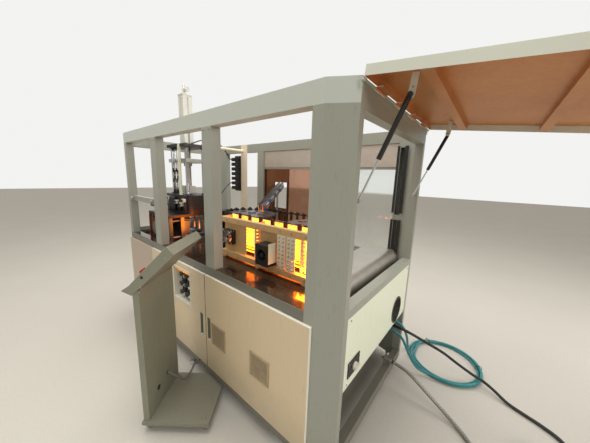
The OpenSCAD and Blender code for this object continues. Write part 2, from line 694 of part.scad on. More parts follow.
// Link plate that reaches from one carrier's pin to the next
link_z = chain_z + sprocket_t + 19;
module link(a, b) {
    v = b - a;
    translate([a[0], a[1], link_z]) rotate(atan2(v[1], v[0]))
        translate([14, -8, -16]) cube([norm(v) - 28, 16, 4]);
}
module conveyor_chain() color("#2b2a2d") for (i = [0:runs - 1]) {
    c = chain_at(i);
    translate([c[0][0], c[0][1], 0]) rotate(c[1]) carrier();
    link(c[0], chain_at((i + 1) % runs)[0]);
}

module sprocket(x) translate([x, chain_y, 0]) {
    difference() {
        translate([0, 0, chain_z]) cylinder(r = tooth_r, h = sprocket_t, $fn = 120);
        for (i = [0:teeth - 1]) rotate(i * 360 / teeth)
            translate([chain_r - tooth_h, 0, chain_z - 1])
                cylinder(d = roller_d, h = sprocket_t + 2, $fn = 24);
        for (a = [0:60:300]) rotate(a) translate([chain_r * 0.55, 0, chain_z - 1])
            cylinder(d = chain_r * 0.3, h = sprocket_t + 2);
    }
    translate([0, 0, chain_z + sprocket_t]) cylinder(d = 80, h = 14);
    translate([0, 0, motor_z]) cylinder(d = shaft_d, h = chain_z - motor_z);
}
motor_z = table_z - 60;
module sprocket_drive() color("#77797c") sprocket(sprocket_x[0]);
module sprocket_idler() color("#77797c") sprocket(sprocket_x[1]);

// Deck plate inside the chain, on four legs, with a bearing for each sprocket shaft
deck_z = 1170;
deck_t = 12;
deck_r = chain_r - 32;
leg_dx = 150;
module conveyor_frame() color("#8f6f5c") difference() {
    union() {
        translate([0, 0, deck_z]) linear_extrude(deck_t) union() {
            for (x = sprocket_x) translate([x, chain_y]) circle(r = deck_r, $fn = 96);
            translate([sprocket_x[1], chain_y - deck_r])
                square([sprocket_x[0] - sprocket_x[1], 2 * deck_r]);
        }
        for (x = sprocket_x) translate([x, chain_y, table_z]) cylinder(d = 90, h = chain_z - 4 - table_z);
        for (x = [sprocket_x[0] - leg_dx, sprocket_x[1] + leg_dx], y = [-110, 150])
            translate([x, chain_y + y, table_z]) {
                cylinder(d = 36, h = deck_z - table_z);
                cylinder(d = 80, h = 8);
            }
    }
    for (x = sprocket_x) translate([x, chain_y, table_z - 10]) cylinder(d = shaft_d + 0.2, h = 400);
}

// Gearmotor under the table on the driving sprocket's shaft
module gearmotor() color("#5f6b74") translate([sprocket_x[0], chain_y, 0]) difference() {
    union() {
        translate([-75, -75, table_z - table_t - 130]) cube([150, 150, 130]);
        translate([0, 74, table_z - table_t - 72]) rotate([-90, 0, 0]) cylinder(d = 124, h = 200);
        for (i = [0:9]) translate([0, 95 + i * 16, table_z - table_t - 72]) rotate([-90, 0, 0])
            cylinder(d = 136, h = 5);
    }
    translate([0, 0, motor_z - 2]) cylinder(d = shaft_d + 0.2, h = 100);
}

// Sheet cover with a rounded edge at the oven's end
cover_x = [oven_x1 + 20, ex - 100];
cover_y = [fy + 300, fy + 1180];
cover_h = 120;
cover_r = 60;
cover_outline = concat([[cover_x[0], table_z], [cover_x[1], table_z]],
    arc([cover_x[1] - cover_r, table_z + cover_h - cover_r], cover_r, 0, 90),
    [[cover_x[0], table_z + cover_h]]);
module end_cover() color("#8d8f8c") translate([0, cover_y[1], 0]) rotate([90, 0, 0]) difference() {
    linear_extrude(cover_y[1] - cover_y[0]) polygon(cover_outline);
    translate([0, -5, sheet_t]) linear_extrude(cover_y[1] - cover_y[0] - 2 * sheet_t)
        polygon(inset(cover_outline, sheet_t));
}

// Preform chute: two rails that fall from the rear opening to the chain
chute_hi = [ex - 1470, fy + 1215, 1540];
chute_lo = [ex - 1180, fy + 620, 1330];
chute_v = chute_hi - chute_lo;
chute_len = norm(chute_v);
chute_gap = 34;
chute_u = chute_v / chute_len;
chute_foot = chute_lo + 512 * chute_u - 34 * cross(chute_u, unit(cross([0, 0, 1], chute_u)));
module chute_place() translate(chute_lo) rotate([0, 0, atan2(chute_v[1], chute_v[0])])
    rotate([0, -asin(chute_v[2] / chute_len), 0]) children();
module preform_chute() color("#b7a98d") {
    chute_place() {
        for (s = [-1, 1]) translate([0, s * (chute_gap / 2 + 3) - 3, -30]) cube([chute_len, 6, 70]);
        for (x = [20:120:chute_len - 20]) translate([x, -chute_gap / 2 - 3, -42 - seat])
            cube([24, chute_gap + 6, 12]);
        for (s = [-1, 1], x = [60:150:chute_len - 60])
            translate([x, s * (chute_gap / 2 + 15 + seat) - 9, -22]) cube([70, 18, 40]);
    }
    translate([chute_foot[0], chute_foot[1], table_z]) {
        cylinder(d = 60, h = 8);
        cylinder(d = 22, h = chute_foot[2] - table_z);
    }
}

// Blow station: base, end plates and clamp cylinders, moved through the mould's parting face
plate_w = 500;
plate_t = 30;
clamp_z = table_z + 20;
clamp_h = 240;
platen_t = 35;
mould_d = 110;
platen_y = mould_open + mould_d;
end_y = platen_y + platen_t + 85;
bar_x = 215;
bar_z = [clamp_z + 35, clamp_z + 205];
module two_sides() {
    translate([blow_x, mould_y, 0]) children();
    translate([blow_x, mould_y, 0]) mirror([0, 1, 0]) children();
}
ram_z = clamp_z + 120;
ram_d = 56;
module clamp_frame() color("#5b5f63") {
    translate([blow_x, mould_y, 0])
        span([-plate_w / 2 - 15, -end_y - plate_t - 15, table_z], [plate_w / 2 + 15, end_y + plate_t + 15, clamp_z]);
    two_sides() {
        difference() {
            span([-plate_w / 2, end_y, clamp_z], [plate_w / 2, end_y + plate_t, clamp_z + clamp_h]);
            translate([0, end_y - 1, ram_z]) rotate([-90, 0, 0]) cylinder(d = ram_d + 4, h = plate_t + 2);
        }
        translate([0, end_y - 40, ram_z]) rotate([-90, 0, 0]) difference() {
            cylinder(d = 150, h = 40);
            translate([0, 0, -1]) cylinder(d = ram_d + 0.2, h = 60);
        }
        translate([0, end_y + plate_t, ram_z]) rotate([-90, 0, 0]) difference() {
            cylinder(d = 150, h = 34);
            translate([0, 0, -1]) cylinder(d = ram_d + 0.2, h = 31);
        }
    }
    for (x = [-bar_x, bar_x], z = bar_z) translate([blow_x + x, mould_y - end_y, z])
        rotate([-90, 0, 0]) cylinder(d = bar_d, h = 2 * end_y);
}
module platen() {
    difference() {
        span([-plate_w / 2 + 5, platen_y, clamp_z + 2], [plate_w / 2 - 5, platen_y + platen_t, clamp_z + clamp_h - 2]);
        for (x = [-bar_x, bar_x], z = bar_z) translate([x, platen_y - 1, z])
            rotate([-90, 0, 0]) cylinder(d = bar_d + 0.2, h = platen_t + 2);
    }
    translate([0, platen_y + platen_t, ram_z]) rotate([-90, 0, 0])
        cylinder(d = ram_d, h = 85 + plate_t + 25);
}
module platen_rear() color("#6a6e72") translate([blow_x, mould_y, 0]) platen();
module platen_front() color("#6a6e72") translate([blow_x, mould_y, 0]) mirror([0, 1, 0]) platen();

// Bottle-shaped cavities: base, body, shoulder and neck
cavity = [[0, 14], [26, 12], [32, 20], [32, 120], [28, 140], [15, 172], [13, 180], [13, mould_h + 1], [0, mould_h + 1]];
mould_z = clamp_z + clamp_h - 5 - mould_h;
module mould_half() difference() {
    span([-mould_w / 2, mould_open, mould_z], [mould_w / 2, platen_y, mould_z + mould_h]);
    for (x = [-0.5, 0.5]) translate([x * cavity_pitch, mould_open, mould_z]) rotate_extrude() polygon(cavity);
    for (x = [-mould_w / 2 + 14, 0, mould_w / 2 - 14]) translate([x, mould_open + 30, mould_z - 1])
        cylinder(d = 10, h = mould_h + 2);
}
module mould_rear() color("#8e8f8b") translate([blow_x, mould_y, 0]) mould_half();
module mould_front() color("#8e8f8b") translate([blow_x, mould_y, 0]) mirror([0, 1, 0]) mould_half();

// Blow head: deck on the clamp's end plates, nozzle block, columns and top plate
head_z = clamp_z + clamp_h;
deck2_t = 25;
block_z = [head_z + deck2_t, head_z + deck2_t + 190];
block_w = 520;
block_y = 155;
block_r = 60;
column_d = 34;
column_x = 158;
column_y = 90;
top_plate_z = 1900;
top_plate_t = 30;
nozzle_d = 34;
cav_x = [-cavity_pitch / 2, cavity_pitch / 2];
function round_box(w, d, r) = concat(arc([-w + r, -d + r], r, 180, 270), arc([w - r, -d + r], r, 270, 360),
    [[w, d], [-w, d]]);
module blow_head() color("#3c4044") translate([blow_x, mould_y, 0]) {
    difference() {
        union() {
            span([-plate_w / 2, -end_y - plate_t, head_z], [plate_w / 2, end_y + plate_t, head_z + deck2_t]);
            translate([0, 0, block_z[0]]) linear_extrude(block_z[1] - block_z[0])
                polygon(round_box(block_w / 2, block_y, block_r));
            for (z = [block_z[0] + 55, block_z[0] + 115]) translate([0, 0, z]) linear_extrude(10)
                polygon(round_box(block_w / 2 + 5, block_y + 5, block_r + 5));
        }
        for (x = cav_x) translate([x, 0, head_z - 1]) cylinder(d = nozzle_d + 0.2, h = 300);
    }
    for (x = [-column_x, column_x], y = [-column_y, column_y])
        translate([x, y, block_z[1]]) cylinder(d = column_d, h = top_plate_z - block_z[1]);
    difference() {
        span([-column_x - 42, -column_y - 40, top_plate_z], [column_x + 42, column_y + 40, top_plate_z + top_plate_t]);
        translate([0, 0, top_plate_z - 1]) cylinder(d = 24.2, h = 50);
        for (x = cav_x) translate([x, 0, top_plate_z - 1]) cylinder(d = 16.2, h = 50);
    }
}

// Tall stretch cylinder on the top plate, with its end cap and port fitting
cyl_z = top_plate_z + top_plate_t;
cyl_h = 500;
module stretch_cylinder() color("#e4e3dc") translate([blow_x, mould_y, cyl_z]) {
    difference() {
        translate([-cyl_s / 2, -cyl_s / 2, 0]) cube([cyl_s, cyl_s, cyl_h]);
        for (a = [0:90:270]) rotate(a) translate([cyl_s / 2, 0, 20]) cylinder(d = 14, h = cyl_h - 40);
        translate([0, 0, -1]) cylinder(d = 24.2, h = cyl_h - 20);
        for (x = cav_x) translate([x, 0, -1]) cylinder(d = 16.2, h = cyl_h - 20);
    }
    translate([-cyl_s / 2 - 3, -cyl_s / 2 - 3, cyl_h]) cube([cyl_s + 6, cyl_s + 6, 14]);
    translate([-22, 0, cyl_h + 14]) cylinder(d = 34, h = 70);
    translate([-22, 0, cyl_h + 84]) cylinder(d = 22, h = 34);
    translate([24, 0, cyl_h + 60]) rotate([0, 90, 0]) cylinder(d = 46, h = 34);
    translate([-22, 0, cyl_h + 60]) rotate([0, 90, 0]) cylinder(d = 24, h = 50);
}

// Carriage that rides on the columns and drives both stretch rods
carriage_z = 1745;
carriage_t = 36;
stretch_stroke = 180;
rod_tip = head_z + 12;
module stretch_carriage() color("#a9acad") translate([blow_x, mould_y, 0]) {
    difference() {
        span([-column_x - 34, -column_y - 30, carriage_z], [column_x + 34, column_y + 30, carriage_z + carriage_t]);
        for (x = [-column_x, column_x], y = [-column_y, column_y])
            translate([x, y, carriage_z - 1]) cylinder(d = column_d + 0.2, h = carriage_t + 2);
    }
    translate([0, 0, carriage_z + carriage_t]) cylinder(d = 24, h = 2150 - carriage_z);
    for (x = cav_x) {
        translate([x, 0, carriage_z + carriage_t]) cylinder(d = 16, h = 2100 - carriage_z);
        translate([x, 0, carriage_z - 34]) cylinder(d = 36, h = 34);
        translate([x, 0, rod_tip]) cylinder(d = stretch_d, h = carriage_z - rod_tip);
    }
}

// Hollow nozzles with their white bodies, which come down onto the preform necks
module blow_nozzles() color("#dcdcd6") translate([blow_x, mould_y, 0]) {
    difference() {
        union() {
            for (x = cav_x) {
                translate([x, 0, head_z + 2]) cylinder(d = nozzle_d, h = block_z[1] + 20 - head_z);
                translate([x - 34, -34, block_z[1] + 16]) cube([68, 68, 75]);
            }
            span([-20, -12, block_z[1] + 40], [20, 12, block_z[1] + 70]);
        }
        for (x = cav_x) translate([x, 0, head_z - 10]) cylinder(d = stretch_d + 0.4, h = 400);
    }
}

// Flat riser with cable holes, and the round rail from the blow head to it
riser_x = ex - 1972;
riser_y = fy + 1020;
riser_w = 110;
riser_z = 1985;
module cable_riser() color("#c9bd9c") {
    difference() {
        span([riser_x, riser_y, table_z], [riser_x + riser_w, riser_y + 6, riser_z]);
        for (z = [table_z + 120:90:riser_z - 30]) translate([riser_x + riser_w / 2, riser_y - 5, z])
            rotate([-90, 0, 0]) cylinder(d = 12, h = 20);
    }
    span([riser_x, riser_y - 60, table_z], [riser_x + riser_w, riser_y, table_z + 6]);
    rod([riser_x + 30, mould_y + column_y + 40 + seat, 1915], [riser_x + 30, riser_y, 1915], 34);
}

// Valve block on the riser: stacked valves, solenoids and fittings
valve_n = 7;
valve_z = 1460;
module valve_manifold() color("#26272a") {
    x1 = riser_x - seat;
    y1 = riser_y + 6;
    span([x1 - 110, y1 - 14, valve_z - 20], [x1, y1, valve_z + valve_n * 56 + 10]);
    for (i = [0:valve_n - 1]) {
        span([x1 - 100, y1 - 74, valve_z + i * 56], [x1 - 20, y1 - 14, valve_z + i * 56 + 40]);
        translate([x1 - 60, y1 - 74, valve_z + i * 56 + 20]) rotate([90, 0, 0]) cylinder(d = 16, h = 22);
        translate([x1 - 110, y1 - 44, valve_z + i * 56 + 20]) rotate([0, 90, 0]) cylinder(d = 12, h = 20);
    }
}

// Wiring plate behind the right cabinet door, with its rails and devices
wire_x = [ex - cross_x[1] - rail_w, ex - cross_x[0]];
wire_y = fy + stub_y[0] - rail_w / 2 - seat - 3;
module electrical_plate() color("#b9bcb4") {
    span([wire_x[0], wire_y, panel_z + 40], [wire_x[1], wire_y + 3, sill_z - 50]);
    for (z = [260, 430, 600, 760]) {
        span([wire_x[0] + 20, wire_y - 8, z], [wire_x[1] - 20, wire_y, z + 35]);
        for (i = [0:11]) span([wire_x[0] + 30 + i * 54, wire_y - 66, z - 25],
            [wire_x[0] + 78 + i * 54, wire_y - 8, z + 60]);
    }
}

// Held air lines and the left bay's cable sleeve
bay_post_x = ex - mid_posts[1] - mid_post_w / 2;
sleeve_route = [[-1842.4, -30, 973], [-1842.4, -30, 1100], [-1842.4, -30, 1260],
    [-1858, -28, 1305], [-1900, -24, 1317], [-1990, -24, 1317]];
top_line = [[-2039, 430, 1950], [-2010, 436, 1954], [-1950, 520, 1990], [-1915, 680, 1975],
    [-1920, 790, 1890], [-1922.3, 835, 1824], [-1922.3, 869, 1816]];
low_line = [[-1922.3, 869, 1536], [-1920, 840, 1532], [-1900, 760, 1480], [-1895, 660, 1370],
    [-1900, 590, 1306], [-1900, 565.8, 1300]];
module air_lines() color("#1f1f21") {
    hose(sleeve_route, 22);
    hose(top_line, 12, 8, 4);
    hose(low_line, 12, 8, 4);
}

// Operator stand, drawn along its own axes and then turned
stand_o = [ex - 1020, fy - 460];
module on_stand() translate([stand_o[0], stand_o[1], 0]) rotate(stand_turn) children();
base_u = [-45, 375];
tray_z = [50, 75];
flange = 36;
post_t = 2;
stand_top = 958;
cable_hole = [239, 221];
cable_d = 16;
module console_stand() color("#8f9589") on_stand() {
    for (u = [base_u[0] + 30, base_u[1] - 30], v = [35, stand_w - 35]) translate([u, v, 0]) castor();
    translate([base_u[0], 0, tray_z[1]]) mirror([0, 0, 1])
        tray(base_u[1] - base_u[0], stand_w, tray_z[1] - tray_z[0]);
    difference() {
        span([-flange, 10, tray_z[1]], [0, stand_w - 10, stand_top]);
        span([-flange - 1, 10 + post_t, tray_z[1] + 2], [-post_t, stand_w - 10 - post_t, 1100]);
        translate([-20, cable_hole[0], cable_hole[1]]) rotate([0, 90, 0])
            cylinder(d = cable_d + 2 * seat, h = 40);
        translate([-20, 129, 206]) rotate([0, 90, 0]) cylinder(d = 26, h = 40);
    }
}
// Side outline of the folded control box: low lip, bend and high end
box_side = [[-36, 932], [20, 984], [20 + box_l, 984 + box_l], [-17 + box_l, 1030 + box_l],
    [-45, 992], [-92, 958]];
hmi = [150, 290];
face_v = unit(box_side[3] - box_side[4]);
face_a = atan2(face_v[1], face_v[0]);
module on_face() on_stand() translate([box_side[4][0], 0, box_side[4][1]])
    rotate([0, -face_a, 0]) children();
module console_box() color("#959b8f") difference() {
    union() {
        on_stand() rotate([90, 0, 0]) mirror([0, 0, 1]) linear_extrude(stand_w)
            polygon(box_side);
        on_face() translate([120, 60, -1]) cube([hmi[0], hmi[1] - 10, 5]);
    }
    on_face() translate([128, 68, 2]) cube([hmi[0] - 16, hmi[1] - 26, 5]);
    on_face() for (y = button_y) translate([60, y, -30]) cylinder(d = 22.2, h = 50);
    on_stand() span([-flange - 1, 9.5, 900], [0.5, stand_w - 9.5, stand_top + 0.5]);
}
button_y = [90, 190];
module e_stop() color("#c02020") on_face() translate([60, button_y[0], 0]) {
    translate([0, 0, -20]) cylinder(d = 22, h = 32);
    translate([0, 0, 12]) cylinder(d1 = 30, d2 = 40, h = 6);
    translate([0, 0, 18]) cylinder(d = 40, h = 8);
}
module start_button() color("#2f8f46") on_face() translate([60, button_y[1], 0]) {
    translate([0, 0, -20]) cylinder(d = 22, h = 24);
    translate([0, 0, 4]) cylinder(d = 27, h = 4);
}
module castor() {
    translate([0, 0, 46]) cylinder(d = 16, h = tray_z[1] - sheet_t - seat - 46);
    translate([0, 0, tray_z[1] - sheet_t - seat - 4]) cylinder(d = 40, h = 4);
    difference() {
        translate([-13, -12, 14]) cube([26, 24, 33]);
        translate([-20, -9, 10]) cube([40, 18, 34]);
    }
    translate([0, 8.7, 20]) rotate([90, 0, 0]) cylinder(d = 40, h = 17.4);
}
// Cable from the stand's web to the base rail
function on_floor(u, v) = [stand_o[0] + u * cos(stand_turn) - v * sin(stand_turn),
    stand_o[1] + u * sin(stand_turn) + v * cos(stand_turn)];
cable_route = concat([for (u = [-10, 4, 18]) concat(on_floor(u, cable_hole[0]), [cable_hole[1]])],
    [[-1015, -285, 180], [-1020, -230, 118], [-1070, -160, 108], [-1106, -110, 121],
    [-1110, -84, 124], [-1110, -72, 124], [-1110, fy, 124]]);
module console_cable() color("#77746a") hose(cable_route, cable_d, 8, 4);

// Points of a coil laid clockwise: centre, start and end angle, start and end radius and height
function coil_pts(c, a0, a1, r0, r1, z0, z1, n) = [for (i = [0:n]) let (t = i / n, a = a0 + (a1 - a0) * t,
    r = r0 + (r1 - r0) * t) [c[0] + r * cos(a), c[1] + r * sin(a), z0 + (z1 - z0) * t]];

// Hose lying in a coil on the floor, both its ends led up behind the end panel
coil_c = [422, 1462];
hose_route = concat([[-189, 1042, 470], [-60, 1043, 471], [60, 1050, 464], [126, 1090, 410], [150, 1160, 300],
    [150, 1250, 160], [138, 1340, 62], [133, 1405, 20]],
    coil_pts(coil_c, 180, -520, coil_r, coil_r - 46, hose_d / 2 + 0.5, hose_d / 2 + 0.5, 28),
    coil_pts(coil_c, -560, -810, coil_r - 42, coil_r, 26, 34, 10),
    [[340, 1166, 36], [260, 1136, 70], [195, 1096, 190], [140, 1050, 330], [60, 1024, 388], [-60, 1017, 392],
    [-189, 1016, 388]]);
module hose_coil() color("#157f80") hose(hose_route, hose_d, 8, 2);

// Braided hose from the air inlet, with a loop and its end fitting on the floor
braid_route = [[104, 890, 198], [120, 890, 198], [136, 890, 198], [235, 884, 182], [316, 870, 150], [415, 862, 92],
    [505, 848, 45], [590, 812, 17], [663, 750, 12.5], [730, 655, 12.5], [790, 570, 12.5],
    [815, 477, 12.5], [775, 391, 12.5], [677, 350, 12.5], [579, 391, 12.5], [538, 489, 12.5],
    [562, 566, 12.5], [605, 609, 12.5]];
module braided_hose() color("#8d8a82") hose(braid_route, 24, 8, 2);
module hose_end() color("#b08d4a") translate([605, 609, 14]) rotate([0, 0, 42]) rotate([0, 90, 0]) {
    translate([0, 0, 0.5]) cylinder(d = 27.6, h = 16);
    translate([0, 0, 16]) cylinder(d = 28, h = 14, $fn = 6);
    translate([0, 0, 30]) cylinder(d = 20, h = 22);
}

// Supply cable over the hose coil to its own coil and plug
supply_d = 22;
supply_c = [1046, 840];
supply_r = 130;
supply_route = concat([[-189, 1030, 430], [-60, 1026, 436], [100, 1004, 440], [180, 1022, 424],
    [300, 1130, 330], [420, 1235, 235], [523, 1300, 150], [630, 1338, 86], [705, 1345, 62], [775, 1316, 46],
    [860, 1280, 16], [950, 1246, 12], [1035, 1214, 12], [1110, 1170, 12], [1155, 1100, 12],
    [1173, 1010, 12], [1176, 920, 12]],
    coil_pts(supply_c, 0, -810, supply_r, supply_r, 12, 66, 30),
    [[1006, 709, 62], [968, 708, 47], [930, 707, 35], [893, 706, 31]]);
module supply_cable() color("#26262a") hose(supply_route, supply_d, 8, 2);
module supply_plug() color("#8f2f24") translate([891.9, 706, 31]) rotate([0, -90, 0]) {
    cylinder(d = 25, h = 34);
    translate([0, 0, 34]) cylinder(d = 46, h = 60);
    translate([0, 0, 94]) difference() {
        cylinder(d = 61, h = 62);
        translate([0, 0, 8]) cylinder(d = 55, h = 60);
    }
    for (a = [30:72:342]) rotate(a) translate([18, 0, 100]) cylinder(d = 6, h = 42);
}

base_frame();
levelling_feet();
frame_right();
frame_left();
frame_front();
frame_rear();
table_plate();
cabinet_panels();
panel_end_right();
rear_window_fixed();
rear_window_sliding();
cabinet_door_left();
cabinet_door_right();
vent_grilles();
regulator_pocket();
main_switch_plate();
main_switch_knob();
round_vent();
end_door();
strut_tube_near();
strut_rod_near();
strut_tube_far();
strut_rod_far();
oven_frame();
lamp_holders();
ir_lamps();
oven_fans();
fan_rotor();
conveyor_frame();
conveyor_chain();
sprocket_drive();
sprocket_idler();
gearmotor();
end_cover();
preform_chute();
clamp_frame();
platen_front();
platen_rear();
mould_front();
mould_rear();
blow_head();
stretch_cylinder();
stretch_carriage();
blow_nozzles();
cable_riser();
valve_manifold();
electrical_plate();
air_lines();
console_stand();
console_box();
e_stop();
start_button();
console_cable();
hose_coil();
braided_hose();
hose_end();
supply_cable();
supply_plug();
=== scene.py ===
"""Blow moulding machine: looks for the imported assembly, put together in the order it is built."""
import math

import bmesh
import bpy
from mathutils import Matrix, Vector


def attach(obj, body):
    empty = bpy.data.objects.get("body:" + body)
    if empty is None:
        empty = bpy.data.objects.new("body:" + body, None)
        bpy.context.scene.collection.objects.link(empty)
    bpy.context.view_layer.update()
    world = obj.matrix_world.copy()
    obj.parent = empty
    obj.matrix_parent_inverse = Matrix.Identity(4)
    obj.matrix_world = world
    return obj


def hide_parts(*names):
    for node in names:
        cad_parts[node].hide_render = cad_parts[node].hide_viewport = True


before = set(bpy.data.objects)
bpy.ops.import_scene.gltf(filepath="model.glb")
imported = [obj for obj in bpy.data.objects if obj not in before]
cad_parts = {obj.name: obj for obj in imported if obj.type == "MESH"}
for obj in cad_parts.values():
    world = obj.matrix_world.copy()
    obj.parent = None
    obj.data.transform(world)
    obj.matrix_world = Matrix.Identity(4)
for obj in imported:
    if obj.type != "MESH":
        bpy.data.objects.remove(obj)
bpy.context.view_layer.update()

bpy.context.scene.view_settings.view_transform = "Standard"


# Camera and studio
# The camera stands close to the machine's front right corner, at standing height and with a wide lens.
# The floor is pale sealed concrete. Daylight is brighter from -X, three large lamps fill in from the other
# sides, and two small orange lamps stand in for the heat that the oven throws on the table and the moulds.
def linear(hex_colour):
    """sRGB hex to Blender's linear colour."""
    channels = [int(hex_colour[i:i + 2], 16) / 255 for i in (1, 3, 5)]
    return (*[c / 12.92 if c <= 0.04045 else ((c + 0.055) / 1.055) ** 2.4 for c in channels], 1.0)


def connect(tree, shader, sockets):
    """Sets a shader's inputs to values, to outputs, or to the first output in use of a node."""
    for key, value in sockets.items():
        if isinstance(value, bpy.types.Node):
            value = next(output for output in value.outputs if output.enabled)
        if isinstance(value, bpy.types.NodeSocket):
            tree.links.new(value, shader.inputs[key])
        else:
            shader.inputs[key].default_value = value


def node(tree, kind, sockets=None, **settings):
    """Adds a shader node with its settings, values and incoming links."""
    added = tree.nodes.new("ShaderNode" + kind)
    for key, value in settings.items():
        setattr(added, key, value)
    connect(tree, added, sockets or {})
    return added


def new_material(name):
    """A material with its Principled shader, and the place on the machine in metres as coordinates."""
    made = bpy.data.materials.new(name)
    made.use_nodes = True
    tree = made.node_tree
    skin = tree.nodes["Principled BSDF"]
    place = node(tree, "TexCoord").outputs["Object"]
    return made, tree, skin, place


def as_object(name, bm, material):
    """Turns finished mesh code into an object with one material."""
    mesh = bpy.data.meshes.new(name)
    bm.to_mesh(mesh)
    bm.free()
    mesh.materials.append(material)
    made = bpy.data.objects.new(name, mesh)
    bpy.context.scene.collection.objects.link(made)
    return made


camera_data = bpy.data.cameras.new("camera")
camera_data.sensor_fit = "HORIZONTAL"
camera_data.sensor_width = 36.0
camera_data.lens = 14.705
camera_data.clip_end = 60
camera = bpy.data.objects.new("camera", camera_data)
bpy.context.scene.collection.objects.link(camera)
right = (0.7709, 0.6361, 0.0327)
up = (-0.1379, 0.1165, 0.9836)
back = (0.6218, -0.7628, 0.1776)
eye = (0.5696, -0.9451, 1.62)
camera.matrix_world = Matrix([*zip(right, up, back, eye), (0, 0, 0, 1)])
bpy.context.scene.camera = camera

floor_paint, tree, skin, place = new_material("sealed_concrete_floor")
clouds = node(tree, "TexNoise", {"Vector": place, "Scale": 1000 / 900, "Detail": 6.0})
speck = node(tree, "TexNoise", {"Vector": place, "Scale": 1000 / 20, "Detail": 3.0})
both = node(tree, "Math", {0: clouds, 1: speck}, operation="MULTIPLY")
tone = node(tree, "Mix", {0: both, 6: linear("#cfcabf"), 7: linear("#bdb7ab")}, data_type="RGBA")
connect(tree, skin, {"Base Color": tone, "Roughness": 0.62})
bm = bmesh.new()
bmesh.ops.create_grid(bm, x_segments=1, y_segments=1, size=30)
floor = as_object("floor", bm, floor_paint)
floor.location.z = -0.001

world = bpy.data.worlds.new("studio")
bpy.context.scene.world = world
world.use_nodes = True
tree = world.node_tree
tree.nodes.clear()
rays = node(tree, "LightPath")
seen = node(tree, "Math", {0: rays.outputs["Is Camera Ray"], 1: rays.outputs["Is Transmission Ray"]},
            operation="MAXIMUM")
toward = node(tree, "SeparateXYZ", {0: node(tree, "TexCoord").outputs["Generated"]})
daylight = node(tree, "MapRange", {"Value": toward.outputs["X"], "From Min": -1.0, "From Max": 0.6,
                                   "To Min": 0.95, "To Max": 0.36})
room = node(tree, "Background", {"Color": linear("#f7f3ec"), "Strength": daylight})
wall = node(tree, "Background", {"Color": linear("#f3f3f1"), "Strength": 1.0})
choose = node(tree, "MixShader", {0: seen, 1: room, 2: wall})
node(tree, "OutputWorld", {"Surface": choose})
for lamp_name, spot, aim, size, watts, colour in (
        ("window_light", (5.0, -2.3, 4.0), (-0.8, 0.4, 0.9), 3.0, 106, "#ffffff"),
        ("roof_light", (-1.4, 0.4, 5.6), (-1.4, 0.5, 0.9), 4.5, 260, "#ffffff"),
        ("end_light", (4.5, 2.6, 3.2), (0.0, 0.6, 0.8), 2.5, 85, "#ffffff"),
        ("oven_glow", (-0.33, 0.262, 1.05), (-0.34, 0.12, 0.93), 0.12, 1.6, "#ff8420"),
        ("oven_glow_left", (-1.62, 0.3, 1.1), (-2.1, 0.3, 1.06), 0.2, 1.2, "#ff8420")):
    lamp_data = bpy.data.lights.new(lamp_name, "AREA")
    lamp_data.size = size
    lamp_data.energy = watts
    lamp_data.color = linear(colour)[:3]
    lamp = bpy.data.objects.new(lamp_name, lamp_data)
    lamp.location = spot
    lamp.rotation_euler = (Vector(aim) - Vector(spot)).to_track_quat("-Z", "Y").to_euler()
    bpy.context.scene.collection.objects.link(lamp)


# Hoses and cables
# Teal PU air hose, black rubber supply cable, braided steel hose and the stand's grey PVC cable.
# Each is one length on its own smooth route, the same route as its solid in the part's source.
def smooth(route, steps):
    """Catmull-Rom curve through the route's points, in metres."""
    points = [Vector(p) / 1000 for p in route]
    last = len(points) - 1
    curve = []
    for i in range(last):
        a, b, c, d = points[max(i - 1, 0)], points[i], points[i + 1], points[min(i + 2, last)]
        for j in range(steps):
            t = j / steps
            curve.append(0.5 * (2 * b + (c - a) * t + (2 * a - 5 * b + 4 * c - d) * t * t
                                + (3 * b - a - 3 * c + d) * t ** 3))
    return curve + [points[last]]


def coil_points(centre, a0, a1, r0, r1, z0, z1, n):
    """Points of a coil laid on the floor, in millimetres."""
    points = []
    for i in range(n + 1):
        t = i / n
        a, r = math.radians(a0 + (a1 - a0) * t), r0 + (r1 - r0) * t
        points.append((centre[0] + r * math.cos(a), centre[1] + r * math.sin(a), z0 + (z1 - z0) * t))
    return points


def sweep(bm, line, diameter, sides=16):
    """Adds a closed tube along a line, with UVs in metres along it and round it."""
    layer = bm.loops.layers.uv.get("along") or bm.loops.layers.uv.new("along")
    rings, run, across = [], [0.0], Vector((0, 0, 1))
    if abs((line[1] - line[0]).normalized().z) > 0.9:
        across = Vector((1, 0, 0))
    for i, p in enumerate(line):
        way = (line[min(i + 1, len(line) - 1)] - line[max(i - 1, 0)]).normalized()
        across = (across - across.dot(way) * way).normalized()
        side = way.cross(across)
        if i:
            run.append(run[-1] + (p - line[i - 1]).length)
        rings.append([bm.verts.new(p + diameter / 2 * (math.cos(a) * across + math.sin(a) * side))
                      for a in [2 * math.pi * j / sides for j in range(sides)]])
    for i in range(len(line) - 1):
        for j in range(sides):
            k = (j + 1) % sides
            face = bm.faces.new((rings[i][j], rings[i][k], rings[i + 1][k], rings[i + 1][j]))
            face.smooth = True
            corners = ((run[i], j), (run[i], j + 1), (run[i + 1], j + 1), (run[i + 1], j))
            for loop, (reach, turn) in zip(face.loops, corners):
                loop[layer].uv = (reach, turn * math.pi * diameter / sides)
    bm.faces.new(reversed(rings[0]))
    bm.faces.new(rings[-1])


def tube(name, line, diameter, material):
    """One hose or cable as its own object."""
    bm = bmesh.new()
    sweep(bm, line, diameter)
    return as_object(name, bm, material)


